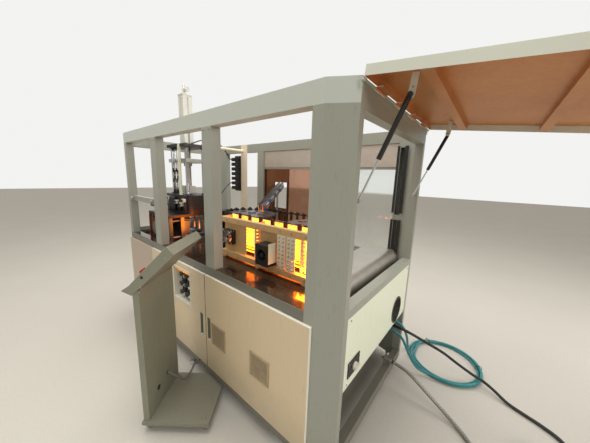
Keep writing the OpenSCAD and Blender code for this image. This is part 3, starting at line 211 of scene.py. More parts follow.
def hose_rubber(name, colour, dust, roughness, ribs_mm, depth):
    """Extruded hose or cable skin: faint lines along a swept tube, dust where it lies on the floor."""
    made, tree, skin, place = new_material(name)
    along = node(tree, "UVMap", uv_map="along")
    smear = node(tree, "TexNoise", {"Vector": place, "Scale": 1000 / 45, "Detail": 5.0})
    parts = node(tree, "SeparateXYZ", {0: place})
    low = node(tree, "MapRange", {"Value": parts.outputs["Z"], "From Min": 0.12, "From Max": 0.0,
                                  "To Min": 0.1, "To Max": 0.6})
    dusty = node(tree, "Math", {0: low, 1: smear}, operation="MULTIPLY")
    tone = node(tree, "Mix", {0: dusty, 6: linear(colour), 7: linear(dust)}, data_type="RGBA")
    rough = node(tree, "MapRange", {"Value": smear, "To Min": roughness - 0.08, "To Max": roughness + 0.12})
    lines = node(tree, "Mapping", {"Vector": along, "Scale": (2.0, 1000 / ribs_mm, 1.0)})
    fine = node(tree, "TexNoise", {"Vector": lines, "Scale": 1.0, "Detail": 2.0})
    bump = node(tree, "Bump", {"Height": fine, "Strength": 0.4, "Distance": depth})
    connect(tree, skin, {"Base Color": tone, "Roughness": rough, "Normal": bump})
    return made


teal_polyurethane = hose_rubber("extruded_teal_polyurethane", "#0e8288", "#6f9c99", 0.3, 3.0, 0.0003)
black_rubber = hose_rubber("black_cable_rubber", "#1a1a1d", "#4c4a48", 0.5, 2.0, 0.0003)
grey_pvc = hose_rubber("grey_cable_pvc", "#6f6d66", "#8b877d", 0.48, 2.0, 0.0002)

# Braided steel wire over rubber: 3 mm strands that cross at 45 degrees, drawn at 6 mm so they show.
braided_steel, tree, skin, place = new_material("braided_steel_wire")
strand_mm = 6
along = node(tree, "UVMap", uv_map="along")
strands = []
for angle in (45, -45):
    laid = node(tree, "Mapping", {"Vector": along, "Rotation": (0, 0, math.radians(angle))})
    strands.append(node(tree, "TexWave", {"Vector": laid, "Scale": 1000 / strand_mm / 6.283,
                                          "Distortion": 0.6}, wave_type="BANDS", bands_direction="X"))
weave = node(tree, "Math", {0: strands[0].outputs["Fac"], 1: strands[1].outputs["Fac"]}, operation="MAXIMUM")
tone = node(tree, "Mix", {0: weave, 6: linear("#4c4944"), 7: linear("#a9a59b")}, data_type="RGBA")
bump = node(tree, "Bump", {"Height": weave, "Strength": 0.8, "Distance": 0.0012})
connect(tree, skin, {"Base Color": tone, "Normal": bump, "Metallic": 0.65, "Roughness": 0.45})

hose_centre = (422, 1462)
teal_line = smooth([(-189, 1042, 470), (-60, 1043, 471), (60, 1050, 464), (126, 1090, 410), (150, 1160, 300),
                    (150, 1250, 160), (138, 1340, 62), (133, 1405, 20)]
                   + coil_points(hose_centre, 180, -520, 290, 244, 10.5, 10.5, 28)
                   + coil_points(hose_centre, -560, -810, 248, 290, 26, 34, 10)
                   + [(340, 1166, 36), (260, 1136, 70), (195, 1096, 190), (140, 1050, 330), (60, 1024, 388),
                      (-60, 1017, 392), (-189, 1016, 388)], 6)
braid_line = smooth([(104, 890, 198), (120, 890, 198), (136, 890, 198), (235, 884, 182), (316, 870, 150),
                     (415, 862, 92), (505, 848, 45), (590, 812, 17), (663, 750, 12.5), (730, 655, 12.5),
                     (790, 570, 12.5), (815, 477, 12.5), (775, 391, 12.5), (677, 350, 12.5),
                     (579, 391, 12.5), (538, 489, 12.5), (562, 566, 12.5), (605, 609, 12.5)], 8)
supply_coil = (1046, 840)
supply_line = smooth([(-189, 1030, 430), (-60, 1026, 436), (100, 1004, 440), (180, 1022, 424),
                      (300, 1130, 330), (420, 1235, 235), (523, 1300, 150), (630, 1338, 86), (705, 1345, 62),
                      (775, 1316, 46), (860, 1280, 16), (950, 1246, 12), (1035, 1214, 12), (1110, 1170, 12),
                      (1155, 1100, 12), (1173, 1010, 12), (1176, 920, 12)]
                     + coil_points(supply_coil, 0, -810, 130, 130, 12, 66, 30)
                     + [(1006, 709, 62), (968, 708, 47), (930, 707, 35), (893, 706, 31)], 6)
console_line = smooth([(-1068.80, -341.11, 221), (-1057.96, -332.26, 221), (-1047.11, -323.41, 221),
                       (-1015, -285, 180), (-1020, -230, 118), (-1070, -160, 108), (-1106, -110, 121),
                       (-1110, -84, 124), (-1110, -72, 124), (-1110, -60, 124)], 10)
teal_hose = tube("teal_air_hose", teal_line, 0.020, teal_polyurethane)
braid_hose = tube("braided_steel_hose", braid_line, 0.024, braided_steel)
supply_lead = tube("black_supply_cable", supply_line, 0.022, black_rubber)
console_lead = tube("stand_cable", console_line, 0.016, grey_pvc)
for cord, solid, slot_name in ((teal_hose, "hose_coil", "hose_teal"),
                               (braid_hose, "braided_hose", "hose_grey"),
                               (supply_lead, "supply_cable", "hose_black"),
                               (console_lead, "console_cable", "hose_grey")):
    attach(cord, "frame")
    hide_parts(solid)


# Base stand and levelling feet
# Square steel tube, welded and painted dull grey, on zinc-plated screw feet.
# Bevel modifiers give the welded tubes and folded sheets the small radius that catches the light.
def dress(material, *names, soften=0.0):
    """Gives CAD nodes their finish, and their edges a small radius in metres."""
    for name in names:
        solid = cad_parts[name]
        for held in solid.material_slots:
            held.material = material
        if soften:
            weld = solid.modifiers.new("weld", "WELD")
            weld.merge_threshold = 0.00005
            round_edge = solid.modifiers.new("edge_radius", "BEVEL")
            round_edge.width = soften
            round_edge.segments = 2
            round_edge.limit_method = "ANGLE"
            round_edge.angle_limit = math.radians(40)
            round_edge.harden_normals = True


def block(bm, lo, hi, edge=1.0, place=None):
    """A cuboid with rounded edges, in millimetres."""
    size = [h - l for l, h in zip(lo, hi)]
    made = bmesh.ops.create_cube(bm, size=1.0)["verts"]
    for v in made:
        v.co = Vector([l + (c + 0.5) * s for l, c, s in zip(lo, v.co, size)]) / 1000
    edges = list(dict.fromkeys(e for v in made for e in v.link_edges))
    made = bmesh.ops.bevel(bm, geom=edges, offset=min(edge, 0.45 * min(size)) / 1000, segments=2,
                           profile=0.6, affect="EDGES")["verts"]
    if place:
        bmesh.ops.transform(bm, matrix=place, verts=made)


def turned(bm, base, axis, profile, sides=24, place=None):
    """A turned shape: (radius, height) pairs in millimetres along an axis from its base."""
    way = Vector(axis).normalized()
    across = way.orthogonal().normalized()
    side = way.cross(across)
    base = Vector(base)
    rings, made = [], []
    for r, h in profile:
        ring = [bm.verts.new((base + way * h + r * (math.cos(a) * across + math.sin(a) * side)) / 1000)
                for a in [2 * math.pi * (j + 0.5) / sides for j in range(sides)]]
        rings.append(ring)
        made += ring
    for a, b in zip(rings, rings[1:]):
        for j in range(sides):
            face = bm.faces.new((a[j], a[(j + 1) % sides], b[(j + 1) % sides], b[j]))
            face.smooth = sides > 8
    bm.faces.new(reversed(rings[0]))
    bm.faces.new(rings[-1])
    if place:
        bmesh.ops.transform(bm, matrix=place, verts=made)


def hex_screw(bm, spot, axis, size):
    """Washer and hexagon head of an M-size screw."""
    turned(bm, spot, axis, [(size, -0.5), (size, 1.2), (size * 0.95, 1.6)], 20)
    turned(bm, spot, axis, [(size * 0.82, 1.4), (size * 0.82, size * 0.6), (size * 0.7, size * 0.68)], 6)


def piece(name, bm, material, body="frame"):
    """Makes the object, which rides on its CAD body."""
    bmesh.ops.recalc_face_normals(bm, faces=bm.faces)
    made = as_object(name, bm, material)
    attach(made, body)


def painted_steel(name, paint, worn, roughness, dusty_to=0.3):
    """Sprayed paint on sheet steel: satin, with wiped patches, chips, and dust up to a height in metres."""
    made, tree, skin, place = new_material(name)
    clouds = node(tree, "TexNoise", {"Vector": place, "Scale": 1000 / 300, "Detail": 7.0, "Roughness": 0.62})
    wiped = node(tree, "Mapping", {"Vector": place, "Scale": (6.0, 6.0, 1.6)})
    marks = node(tree, "TexNoise", {"Vector": wiped, "Scale": 1000 / 120, "Detail": 8.0, "Roughness": 0.7})
    patch = node(tree, "MapRange",
                 {"Value": marks, "From Min": 0.56, "From Max": 0.78, "To Min": 0.0, "To Max": 0.55})
    tone = node(tree, "Mix", {0: patch, 6: linear(paint), 7: linear(worn)}, data_type="RGBA")
    parts = node(tree, "SeparateXYZ", {0: place})
    low = node(tree, "MapRange", {"Value": parts.outputs["Z"], "From Min": dusty_to, "From Max": 0.03,
                                  "To Min": 0.0, "To Max": 0.9})
    dusty = node(tree, "Math", {0: low, 1: clouds}, operation="MULTIPLY")
    dusted = node(tree, "Mix", {0: dusty, 6: tone, 7: linear("#7d7466")}, data_type="RGBA")
    chips = node(tree, "TexVoronoi", {"Vector": place, "Scale": 1000 / 70})
    chip = node(tree, "MapRange", {"Value": chips.outputs["Distance"], "From Min": 0.035, "From Max": 0.02})
    sparse = node(tree, "Math", {0: clouds, 1: 0.56}, operation="GREATER_THAN")
    bare = node(tree, "Math", {0: chip, 1: sparse}, operation="MULTIPLY")
    final = node(tree, "Mix", {0: bare, 6: dusted, 7: linear("#5c554b")}, data_type="RGBA")
    rough = node(tree, "MapRange", {"Value": marks, "To Min": roughness - 0.1, "To Max": roughness + 0.14})
    # Orange peel of sprayed paint, drawn at 4 mm so that it shows.
    peel = node(tree, "TexNoise", {"Vector": place, "Scale": 1000 / 4, "Detail": 1.0})
    bump = node(tree, "Bump", {"Height": peel, "Strength": 0.25, "Distance": 0.0002})
    connect(tree, skin, {"Base Color": final, "Roughness": rough, "Normal": bump, "IOR": 1.5})
    return made


def bare_metal(name, light, dark, roughness, grain=(1.0, 1.0, 40.0)):
    """Bare or plated metal with its machining or rolling lines, drawn coarser than real so they show."""
    made, tree, skin, place = new_material(name)
    clouds = node(tree, "TexNoise", {"Vector": place, "Scale": 1000 / 60, "Detail": 6.0})
    stretched = node(tree, "Mapping", {"Vector": place, "Scale": grain})
    lines = node(tree, "TexNoise", {"Vector": stretched, "Scale": 1000 / 1.5 / max(grain), "Detail": 4.0})
    both = node(tree, "Math", {0: clouds, 1: 0.6, 2: 0.1}, operation="MULTIPLY_ADD")
    mixed = node(tree, "Math", {0: lines, 1: 0.5, 2: both}, operation="MULTIPLY_ADD")
    tone = node(tree, "Mix", {0: mixed, 6: linear(dark), 7: linear(light)}, data_type="RGBA")
    rough = node(tree, "MapRange", {"Value": clouds, "To Min": roughness - 0.08, "To Max": roughness + 0.12})
    bump = node(tree, "Bump", {"Height": lines, "Strength": 0.3, "Distance": 0.00008})
    connect(tree, skin, {"Base Color": tone, "Roughness": rough, "Normal": bump, "Metallic": 0.9})
    return made


base_paint = painted_steel("brushed_on_grey_enamel", "#75766a", "#5c5c52", 0.5, dusty_to=0.5)
zinc_plate = bare_metal("zinc_plated_steel", "#b9b8b0", "#8c8b84", 0.38)
dress(base_paint, "base_frame", soften=0.0015)
dress(zinc_plate, "levelling_feet")
bm = bmesh.new()
for x, feet_y in ((0, (0, 1170)), (-2530, (0, 1170)), (-1265, (-35, 1205))):
    for y in feet_y:
        turned(bm, (x, y, 72.5), (0, 0, -1), [(15, 0), (15, 3), (13, 4)], 20)
        turned(bm, (x, y, 60), (0, 0, -1), [(13.5, 0), (13.5, 9), (12, 10)], 6)
        for thread in range(8):
            turned(bm, (x, y, 20 + thread * 5), (0, 0, 1), [(8.0, 0), (8.8, 1.2), (8.0, 2.4)], 16)
piece("foot_lock_nuts", bm, zinc_plate)


# Guard frame
# Folded and welded sheet-steel posts and rails, sprayed in satin grey: the front top rail carries a painted
# highlight, and the sill is dark with oil. Weld seams show where the rails butt against the posts, screws
# hold the mid posts, and rubber strips line the rear corner post.
def painted_over(material, colour, *limits):
    """Gives a material another colour where each (axis, test, metres) holds, and returns where that is."""
    tree = material.node_tree
    skin = tree.nodes["Principled BSDF"]
    place = node(tree, "SeparateXYZ", {0: node(tree, "TexCoord").outputs["Object"]})
    inside = 1.0
    for axis, test, metres in limits:
        held = node(tree, "Math", {0: place.outputs[axis], 1: metres}, operation=test)
        inside = node(tree, "Math", {0: held, 1: inside}, operation="MULTIPLY")
    under = skin.inputs["Base Color"].links[0].from_socket
    tone = node(tree, "Mix", {0: inside, 6: under, 7: linear(colour)}, data_type="RGBA")
    connect(tree, skin, {"Base Color": tone})
    return inside


frame_paint = painted_steel("satin_grey_spray_paint", "#9d9e91", "#7f8076", 0.32)
front_side = ("Y", "LESS_THAN", 0.012)
# The front top rail is painted paler: a painted highlight for the light it catches from above.
painted_over(frame_paint, "#c3c8be", ("Z", "GREATER_THAN", 1.925), front_side)
painted_over(frame_paint, "#727064", ("Z", "LESS_THAN", 0.975), ("Z", "GREATER_THAN", 0.905), front_side,
             ("X", "LESS_THAN", -0.078))
dress(frame_paint, "frame_right", "frame_left", "frame_front", "frame_rear", soften=0.0022)
sill_top, rail_under = 972, 1926
seam = 1.5
bm = bmesh.new()
for y0, y1, joints in ((-60, 10, (-1830, -1720, -970, -860)), (1160, 1230, (-1790, -1680))):
    for x in joints:
        for z in (sill_top, rail_under):
            block(bm, (x - seam, y0 + 2, z - seam), (x + seam, y1 - 2, z + seam), 1.2)
for x in (-2454, -76):
    for z in (912, sill_top, rail_under, 2023):
        block(bm, (x - seam, -59, z - seam), (x + seam, 9, z + seam), 1.2)
for z in (1904, 953, 998):
    for y in (60, 1110):
        block(bm, (52, y - seam, z - seam), (109, y + seam, z + seam), 1.2)
piece("weld_seams", bm, frame_paint)
bm = bmesh.new()
for z0, z1 in ((1001, 1306), (1362, 1898)):
    for x0, x1 in ((-75, -56), (-18, 8)):
        block(bm, (x0, 1114.4, z0), (x1, 1118.4, z1))
piece("rear_post_rubber_strips", bm, black_rubber)
bm = bmesh.new()
for x in (-915, -1775):
    for z in (990, 1908):
        for dx in (-32, 32):
            hex_screw(bm, (x + dx, -60, z), (0, -1, 0), 6)
for z in (1130, 1420, 1710):
    for y in (52, 1118):
        hex_screw(bm, (98, y, z), (1, 0, 0), 5)
piece("frame_screws", bm, zinc_plate)


# Left bay cable duct
# A black moulded duct stands on the sill beside the left mid post.
# Three cable ties hold it to the post.
duct_black = hose_rubber("black_moulded_duct", "#1b1b1d", "#3c3a38", 0.45, 4.0, 0.0002)
bm = bmesh.new()
block(bm, (-1884, -34, 971.8), (-1838, 6, 1318), 9)
for tie_z in (1040, 1150, 1260):
    block(bm, (-1886, -36, tie_z), (-1829.6, 8, tie_z + 5), 1.4)
piece("left_bay_cable_duct", bm, duct_black)


# Machine table
# One thick steel plate, ground and oiled until it is dark and shiny, so it mirrors the oven's orange light.
# Grinding lines run along it, and dried oil breaks up the shine. Oiled strips cover the sill in each bay.
table_steel, tree, skin, place = new_material("ground_and_oiled_steel_plate")
clouds = node(tree, "TexNoise", {"Vector": place, "Scale": 1000 / 220, "Detail": 7.0, "Roughness": 0.65})
ground = node(tree, "Mapping", {"Vector": place, "Scale": (1.0, 30.0, 30.0)})
lines = node(tree, "TexNoise", {"Vector": ground, "Scale": 16.0, "Detail": 5.0})
mixed = node(tree, "Math", {0: lines, 1: 0.4, 2: clouds}, operation="MULTIPLY_ADD")
level = node(tree, "MapRange", {"Value": mixed, "From Min": 0.45, "From Max": 1.0})
tone = node(tree, "Mix", {0: level, 6: linear("#473a30"), 7: linear("#7d6c5b")}, data_type="RGBA")
rough = node(tree, "MapRange",
             {"Value": clouds, "From Min": 0.3, "From Max": 0.7, "To Min": 0.06, "To Max": 0.2})
bump = node(tree, "Bump", {"Height": lines, "Strength": 0.15, "Distance": 0.00004})
connect(tree, skin, {"Base Color": tone, "Roughness": rough, "Normal": bump, "Metallic": 0.85})
dress(table_steel, "table_plate")
table_top = 930
bm = bmesh.new()
for x in (-2350, -1650, -1000, -300):
    for y in (60, 1110):
        turned(bm, (x, y, table_top), (0, 0, 1), [(9, -1), (9, 1.2), (8, 2.6), (4.6, 2.8), (4.6, 1.0)], 20)
piece("table_screws", bm, zinc_plate)
bm = bmesh.new()
for x0, x1 in ((-2440, -1836), (-1714, -976), (-854, -82)):
    block(bm, (x0, -57, sill_top - 0.3), (x1, 9.6, sill_top + 1.4), 0.6)
piece("sill_strips", bm, table_steel)


# Cabinet doors and panels
# Folded steel trays in cream powder coat: two front doors, and plain panels at the left, the back and the
# ends. The doors' top and right-hand edge faces carry a painted highlight, the seam between them is painted
# shade, and grey liners line their grips.
cream_paint = painted_steel("cream_powder_coat", "#dcc8a5", "#bba886", 0.38, dusty_to=0.45)
faded_cream_paint = painted_steel("cream_powder_coat_faded", "#bfae9c", "#a59583", 0.45, dusty_to=0.34)
tree = cream_paint.node_tree
skin = tree.nodes["Principled BSDF"]
coat = skin.inputs["Base Color"].links[0].from_socket
# The painted highlight on faces that turn up or toward +X follows the door's own directions, so it stays in
# place as the door swings.
facing = node(tree, "SeparateXYZ", {0: node(tree, "TexCoord").outputs["Normal"]})
lit_way = node(tree, "Math", {0: facing.outputs["Z"], 1: facing.outputs["X"]}, operation="MAXIMUM")
edge = node(tree, "Math", {0: lit_way, 1: 0.6}, operation="GREATER_THAN")
tone = node(tree, "Mix", {0: edge, 6: coat, 7: linear("#f4efe2")}, data_type="RGBA")
connect(tree, skin, {"Base Color": tone})
# A dark band at the seam between the doors: painted shade in the gap.
painted_over(cream_paint, "#3b352c", ("X", "GREATER_THAN", -0.9715), ("X", "LESS_THAN", -0.9645))
dress(cream_paint, "cabinet_door_left", "cabinet_door_right", soften=0.0007)
dress(faded_cream_paint, "cabinet_panels", soften=0.0007)
grip_foot, grip_head = 406, 584
for name, x in (("left", -1050), ("right", -950)):
    bm = bmesh.new()
    for x0, x1, front in ((1, 4, -77), (40, 43, -77), (1, 43, -66)):
        block(bm, (x + x0, front, grip_foot), (x + x1, -64, grip_head), 0.8)
    piece("grip_liner_" + name, bm, base_paint, "cabinet_door_" + name)


# Louvre grilles
# Injection-moulded beige ABS guards with slanting slats over the cabinet's two air inlets.
# Four screws hold each one to the door.
def moulded(name, tones, blotch_mm, roughness, detail=5.0, grain_mm=None, clear=None):
    """Moulded plastic, acrylic sheet or fired ceramic: cloudy between two tones, some with a fine grain."""
    made, tree, skin, place = new_material(name)
    clouds = node(tree, "TexNoise", {"Vector": place, "Scale": 1000 / blotch_mm, "Detail": detail})
    tone = node(tree, "Mix", {0: clouds, 6: linear(tones[0]), 7: linear(tones[1])}, data_type="RGBA")
    if isinstance(roughness, tuple):
        roughness = node(tree, "MapRange", {"Value": clouds, "To Min": roughness[0], "To Max": roughness[1]})
    connect(tree, skin, {"Base Color": tone, "Roughness": roughness})
    if grain_mm:
        grain = node(tree, "TexNoise", {"Vector": place, "Scale": 1000 / grain_mm})
        bump = node(tree, "Bump", {"Height": grain, "Strength": 0.3, "Distance": 0.0001})
        connect(tree, skin, {"Normal": bump})
    if clear:
        connect(tree, skin, {"Transmission Weight": clear, "IOR": 1.49})
    return made


dress(moulded("moulded_beige_abs", ("#a08c6c", "#bba684"), 50, 0.5, grain_mm=1.5), "vent_grilles")
grille_screw = [(3.6, -0.5), (3.6, 0.6), (2.6, 1.1), (1, 0.5)]
bm = bmesh.new()
for x in (-885, -460):
    for dx in (6, 159):
        for dz in (6, 159):
            turned(bm, (x + dx, -84.6, 402 + dz), (0, -1, 0), grille_screw, 16)
piece("grille_screws", bm, zinc_plate, "cabinet_door_right")


# Regulator recess
# A folded white enamelled box set into the left door: six black pressure regulators with white gauges and a
# strip of amber lamps. White edging runs round the recess, and black tube joins the regulators.
pocket_enamel = painted_steel("white_stove_enamel", "#e2ddcd", "#bcb5a2", 0.4)
dress(pocket_enamel, "regulator_pocket", soften=0.0007)
black_steel = painted_steel("black_stove_enamel", "#1d1c1b", "#302d29", 0.4)
white_abs = moulded("moulded_white_abs", ("#cfcab8", "#e6e2d3"), 40, 0.42)
amber, tree, skin, place = new_material("amber_lamp_acrylic")
cells = node(tree, "TexVoronoi", {"Vector": place, "Scale": 1000 / 14})
tone = node(tree, "Mix", {0: cells.outputs["Distance"], 6: linear("#ffb21e"), 7: linear("#b0640c")},
            data_type="RGBA")
connect(tree, skin, {"Base Color": tone, "Emission Color": tone, "Emission Strength": 0.7, "Roughness": 0.2})
pocket_x, pocket_z = -1453, 585
bm = bmesh.new()
for x0, z0, x1, z1 in ((-11, -11, 281, -1), (-11, 271, 281, 281), (-11, -1, -1, 271), (271, -1, 281, 271)):
    block(bm, (pocket_x + x0, -83.4, pocket_z + z0), (pocket_x + x1, -81.0, pocket_z + z1))
piece("recess_edging", bm, white_abs, "cabinet_door_left")
bm = bmesh.new()
for k in range(9):
    x = pocket_x + 22 + k * 26
    block(bm, (x, -76, pocket_z + 247), (x + 18, -56, pocket_z + 263), 3)
piece("recess_lamps", bm, amber, "cabinet_door_left")
bodies, gauges, tubes = bmesh.new(), bmesh.new(), bmesh.new()
knob = [(22, 0), (22, 4), (19, 7), (19.5, 24), (17, 27), (0.5, 27)]
dial = [(13, -1), (13, 7), (11.6, 8), (11.4, 7), (0.5, 7)]
for column in range(2):
    for row in range(3):
        x, z = pocket_x + 95 + column * 80, pocket_z + 55 + row * 80
        block(bodies, (x - 30, -46, z - 28), (x + 27, -2.5, z + 28), 5)
        turned(bodies, (x - 4, -45, z), (0, -1, 0), knob, 12)
        turned(bodies, (x - 29, -24, z + 6), (-1, 0, 0), [(8, 0), (8, 6), (6, 6), (6, 12)], 12)
        turned(bodies, (x, -24, z - 28), (0, 0, -1), [(8, 0), (8, 6), (6, 8)], 6)
        turned(gauges, (x + 19, -46, z - 19), (0, -1, 0), dial)
    x = pocket_x + 72 + column * 80
    for foot, bow, y in ((61, 30, -26), (141, 28, -28)):
        z = pocket_z + foot
        sweep(tubes, smooth([(x - 14, -24, z), (x - bow, y, z + 9), (x - bow - 4, y - 2, z + 39),
                             (x - bow, y, z + 71), (x - 14, -24, z + 80)], 5), 0.008, 10)
piece("regulator_bodies", bodies, black_steel, "cabinet_door_left")
piece("regulator_gauges", gauges, white_abs, "cabinet_door_left")
piece("regulator_tubes", tubes, black_rubber, "cabinet_door_left")


# Operator stand
# Folded 2 mm steel sheet in grey-green paint: a floor tray on four swivel castors, a channel post and a
# sloping control box with a dark screen, a mushroom stop button and a green start button.
stand_paint = painted_steel("grey_green_spray_paint", "#8b8b79", "#706f60", 0.46, dusty_to=0.25)
dress(stand_paint, "console_box", "console_stand", soften=0.0007)
on_stand = Matrix.Translation((-0.910, -0.520, 0)) @ Matrix.Rotation(math.radians(39.2), 4, "Z")
face_rise, face_run = 236, 226
on_face = (on_stand @ Matrix.Translation((-0.045, 0, 0.992))
           @ Matrix.Rotation(-math.atan2(face_rise, face_run), 4, "Y"))
black_abs = moulded("moulded_black_abs", ("#161617", "#2c2b2a"), 50, 0.45, grain_mm=2.0)
screen_glass, tree, skin, place = new_material("switched_off_screen_glass")
smears = node(tree, "TexNoise", {"Vector": place, "Scale": 1000 / 30, "Detail": 6.0})
rough = node(tree, "MapRange", {"Value": smears, "To Min": 0.04, "To Max": 0.22})
connect(tree, skin, {"Base Color": linear("#10151a"), "Roughness": rough})
bm = bmesh.new()
block(bm, (129, 69, 1.2), (261, 331, 2.4), 0.6, on_face)
piece("screen", bm, screen_glass)
bm = bmesh.new()
for u0, v0, u1, v1 in ((122, 62, 268, 68), (122, 332, 268, 338), (122, 68, 128, 332), (262, 68, 268, 332)):
    block(bm, (u0, v0, 3.6), (u1, v1, 5.4), 0.8, on_face)
turned(bm, (60, 90, 0), (0, 0, 1), [(24, 0), (24, 2.6), (21, 4.2), (15, 4.2)], 32, on_face)
turned(bm, (60, 190, 0), (0, 0, 1), [(15.5, 0), (15.5, 2.4), (14, 3.6), (12, 3.6)], 32, on_face)
turned(bm, (31, -0.2, 1044), (0, 1, 0), [(9, -0.6), (9, 0.8), (7.4, 1.0)], 24, on_stand)
piece("console_bezels", bm, black_abs)
stand_w = 400
side_screw = [(5.5, 0), (5.5, 1.2), (4.2, 2.6), (2, 2.8)]
bm = bmesh.new()
for u, z in ((23, 984), (11, 953), (170, 1160)):
    turned(bm, (u, 0.4, z), (0, -1, 0), side_screw, 16, on_stand)
    turned(bm, (u, stand_w - 0.4, z), (0, 1, 0), side_screw, 16, on_stand)
for v in (60, 340):
    for z in (120, 900):
        turned(bm, (-36, v, z), (-1, 0, 0), [(6, -0.5), (6, 1.4), (4.6, 2.8), (2, 3.0)], 16, on_stand)
for u in (-5, 335):
    for v in (35, 365):
        turned(bm, (u, v, 75), (0, 0, 1), [(8, -0.4), (8, 1.5), (6, 1.6)], 16, on_stand)
        turned(bm, (u, v, 76), (0, 0, 1), [(6, 0), (6, 5), (5, 6)], 6, on_stand)
piece("stand_screws", bm, zinc_plate)
fold_d = 0.0022
bm = bmesh.new()
for v in (0, stand_w):
    for u0, z0, u1, z1 in ((-92, 958, -45, 992), (-45, 992, 181, 1228), (181, 1228, 218, 1182),
                           (20, 984, 218, 1182), (-36, 932, 20, 984)):
        start, end = (on_stand @ (Vector(corner) / 1000) for corner in ((u0, v, z0), (u1, v, z1)))
        sweep(bm, [start.lerp(end, 0.03), start.lerp(end, 0.97)], fold_d, 8)
piece("console_folded_edges", bm, frame_paint)
bm = bmesh.new()
for v, z, hole in ((239, 221, 8.35), (129, 206, 12.6)):
    turned(bm, (-1.2, v, z), (1, 0, 0), [(hole + 4.4, 0.9), (hole + 4.4, 2.4), (hole + 2, 3.4), (hole, 3.4),
                                         (hole, 0.9)], 28, on_stand)
piece("stand_grommets", bm, black_rubber)


# Buttons, plug and hose end
# Glossy moulded polycarbonate buttons and a moulded plug housing, all with fine scuffs.
# The braided hose ends in a machined brass fitting.
for name, tones, node_name, radius in (
        ("red_moulded_polycarbonate", ("#a01712", "#d12a22"), "e_stop", 0.001),
        ("green_moulded_polycarbonate", ("#1c7a3b", "#2fa356"), "start_button", 0.0006),
        ("red_moulded_plug_housing", ("#7f2219", "#a63226"), "supply_plug", 0.0012)):
    dress(moulded(name, tones, 6, (0.15, 0.4), detail=6.0), node_name, soften=radius)
brass = bare_metal("machined_brass", "#c9a35c", "#96713a", 0.32)
dress(brass, "hose_end", soften=0.0006)


# Cord fittings and coil ties
# Brass unions hold both ends of the teal hose, a crimped steel ferrule the braided one, and a black nylon
# gland with a tapered sleeve the supply cable. Black nylon ties keep both coils together.
bm = bmesh.new()
for start, ahead in ((teal_line[0], teal_line[2]), (teal_line[-1], teal_line[-3])):
    turned(bm, start * 1000, ahead - start, [(17, -2), (17, 10), (15, 12)], 6)
    turned(bm, start * 1000, ahead - start, [(14, 11), (14, 24), (12, 27), (10.3, 27), (10.3, 14)], 24)
piece("teal_hose_unions", bm, brass)
bm = bmesh.new()
turned(bm, (103.6, 890, 198), (1, 0, 0), [(18, 0), (18, 13), (16, 15)], 6)
turned(bm, (103.6, 890, 198), (1, 0, 0), [(14.4, 14), (14.4, 42), (13, 45), (12.2, 45), (12.2, 16)], 24)
piece("braided_hose_ferrule", bm, zinc_plate)
bm = bmesh.new()
gland, gland_way = supply_line[0] * 1000, supply_line[3] - supply_line[0]
turned(bm, gland, gland_way, [(21, -2), (21, 9), (19, 11)], 6)
turned(bm, gland, gland_way,
       [(18, 10), (18, 22), (15.5, 27), (13.4, 48), (12.6, 58), (11.3, 58), (11.3, 12)])
for middle, angle, near, far, top in ((hose_centre, 130, 241, 299, 39), (hose_centre, 20, 243, 292, 43),
                                      (supply_coil, 200, 117.5, 142.5, 80),
                                      (supply_coil, 65, 117.5, 142.5, 80)):
    out = Vector((math.cos(math.radians(angle)), math.sin(math.radians(angle)), 0))
    centre = Vector((*middle, 0)) + out * (near + far) / 2 + Vector((0, 0, top / 2 + 0.8))
    band = []
    for j in range(25):
        c, s = math.cos(math.tau * j / 24), math.sin(math.tau * j / 24)
        band.append((centre + out * math.copysign(abs(c) ** 0.5, c) * (far - near) / 2
                     + Vector((0, 0, 1)) * math.copysign(abs(s) ** 0.5, s) * (top - 1.6) / 2) / 1000)
    for shift in (-2.4, -0.8, 0.8, 2.4):
        aside = Vector((-out.y, out.x, 0)) * shift / 1000
        sweep(bm, [p + aside for p in band], 0.002, 8)
piece("cord_gland_and_coil_ties", bm, black_abs)


# End panel, main switch and cable vent
# Greenish-white folded sheet with a black switch plate, whose handle is white moulded plastic, and a round
# black wire guard above the hoses and cables.
white_paint = painted_steel("greenish_white_powder_coat", "#edf1d8", "#d4d8bf", 0.38, dusty_to=0.6)
dress(white_paint, "panel_end_right", soften=0.0007)
dress(black_abs, "main_switch_plate", soften=0.0012)
dress(white_abs, "main_switch_knob", soften=0.002)
dress(black_steel, "round_vent")
switch_y, switch_z = 157, 640
vent_y, vent_z, vent_screws_r = 885, 652, 99
plate_screw = [(4, -0.5), (4, 0.8), (2.8, 1.4), (1.2, 0.7)]
bm = bmesh.new()
for dy in (-58, 58):
    for dz in (-36, 36):
        turned(bm, (115, switch_y + dy, switch_z + dz), (1, 0, 0), plate_screw, 16)
for k in range(12):
    a = math.radians(30 * k + 15)
    spot = (113.2, vent_y + vent_screws_r * math.cos(a), vent_z + vent_screws_r * math.sin(a))
    turned(bm, spot, (1, 0, 0), [(3.2, -0.5), (3.2, 0.8), (2, 1.4)], 12)
for y in (90, 1080):
    for z in (560, 930):
        hex_screw(bm, (109, y, z), (1, 0, 0), 5)
piece("end_panel_screws", bm, zinc_plate)
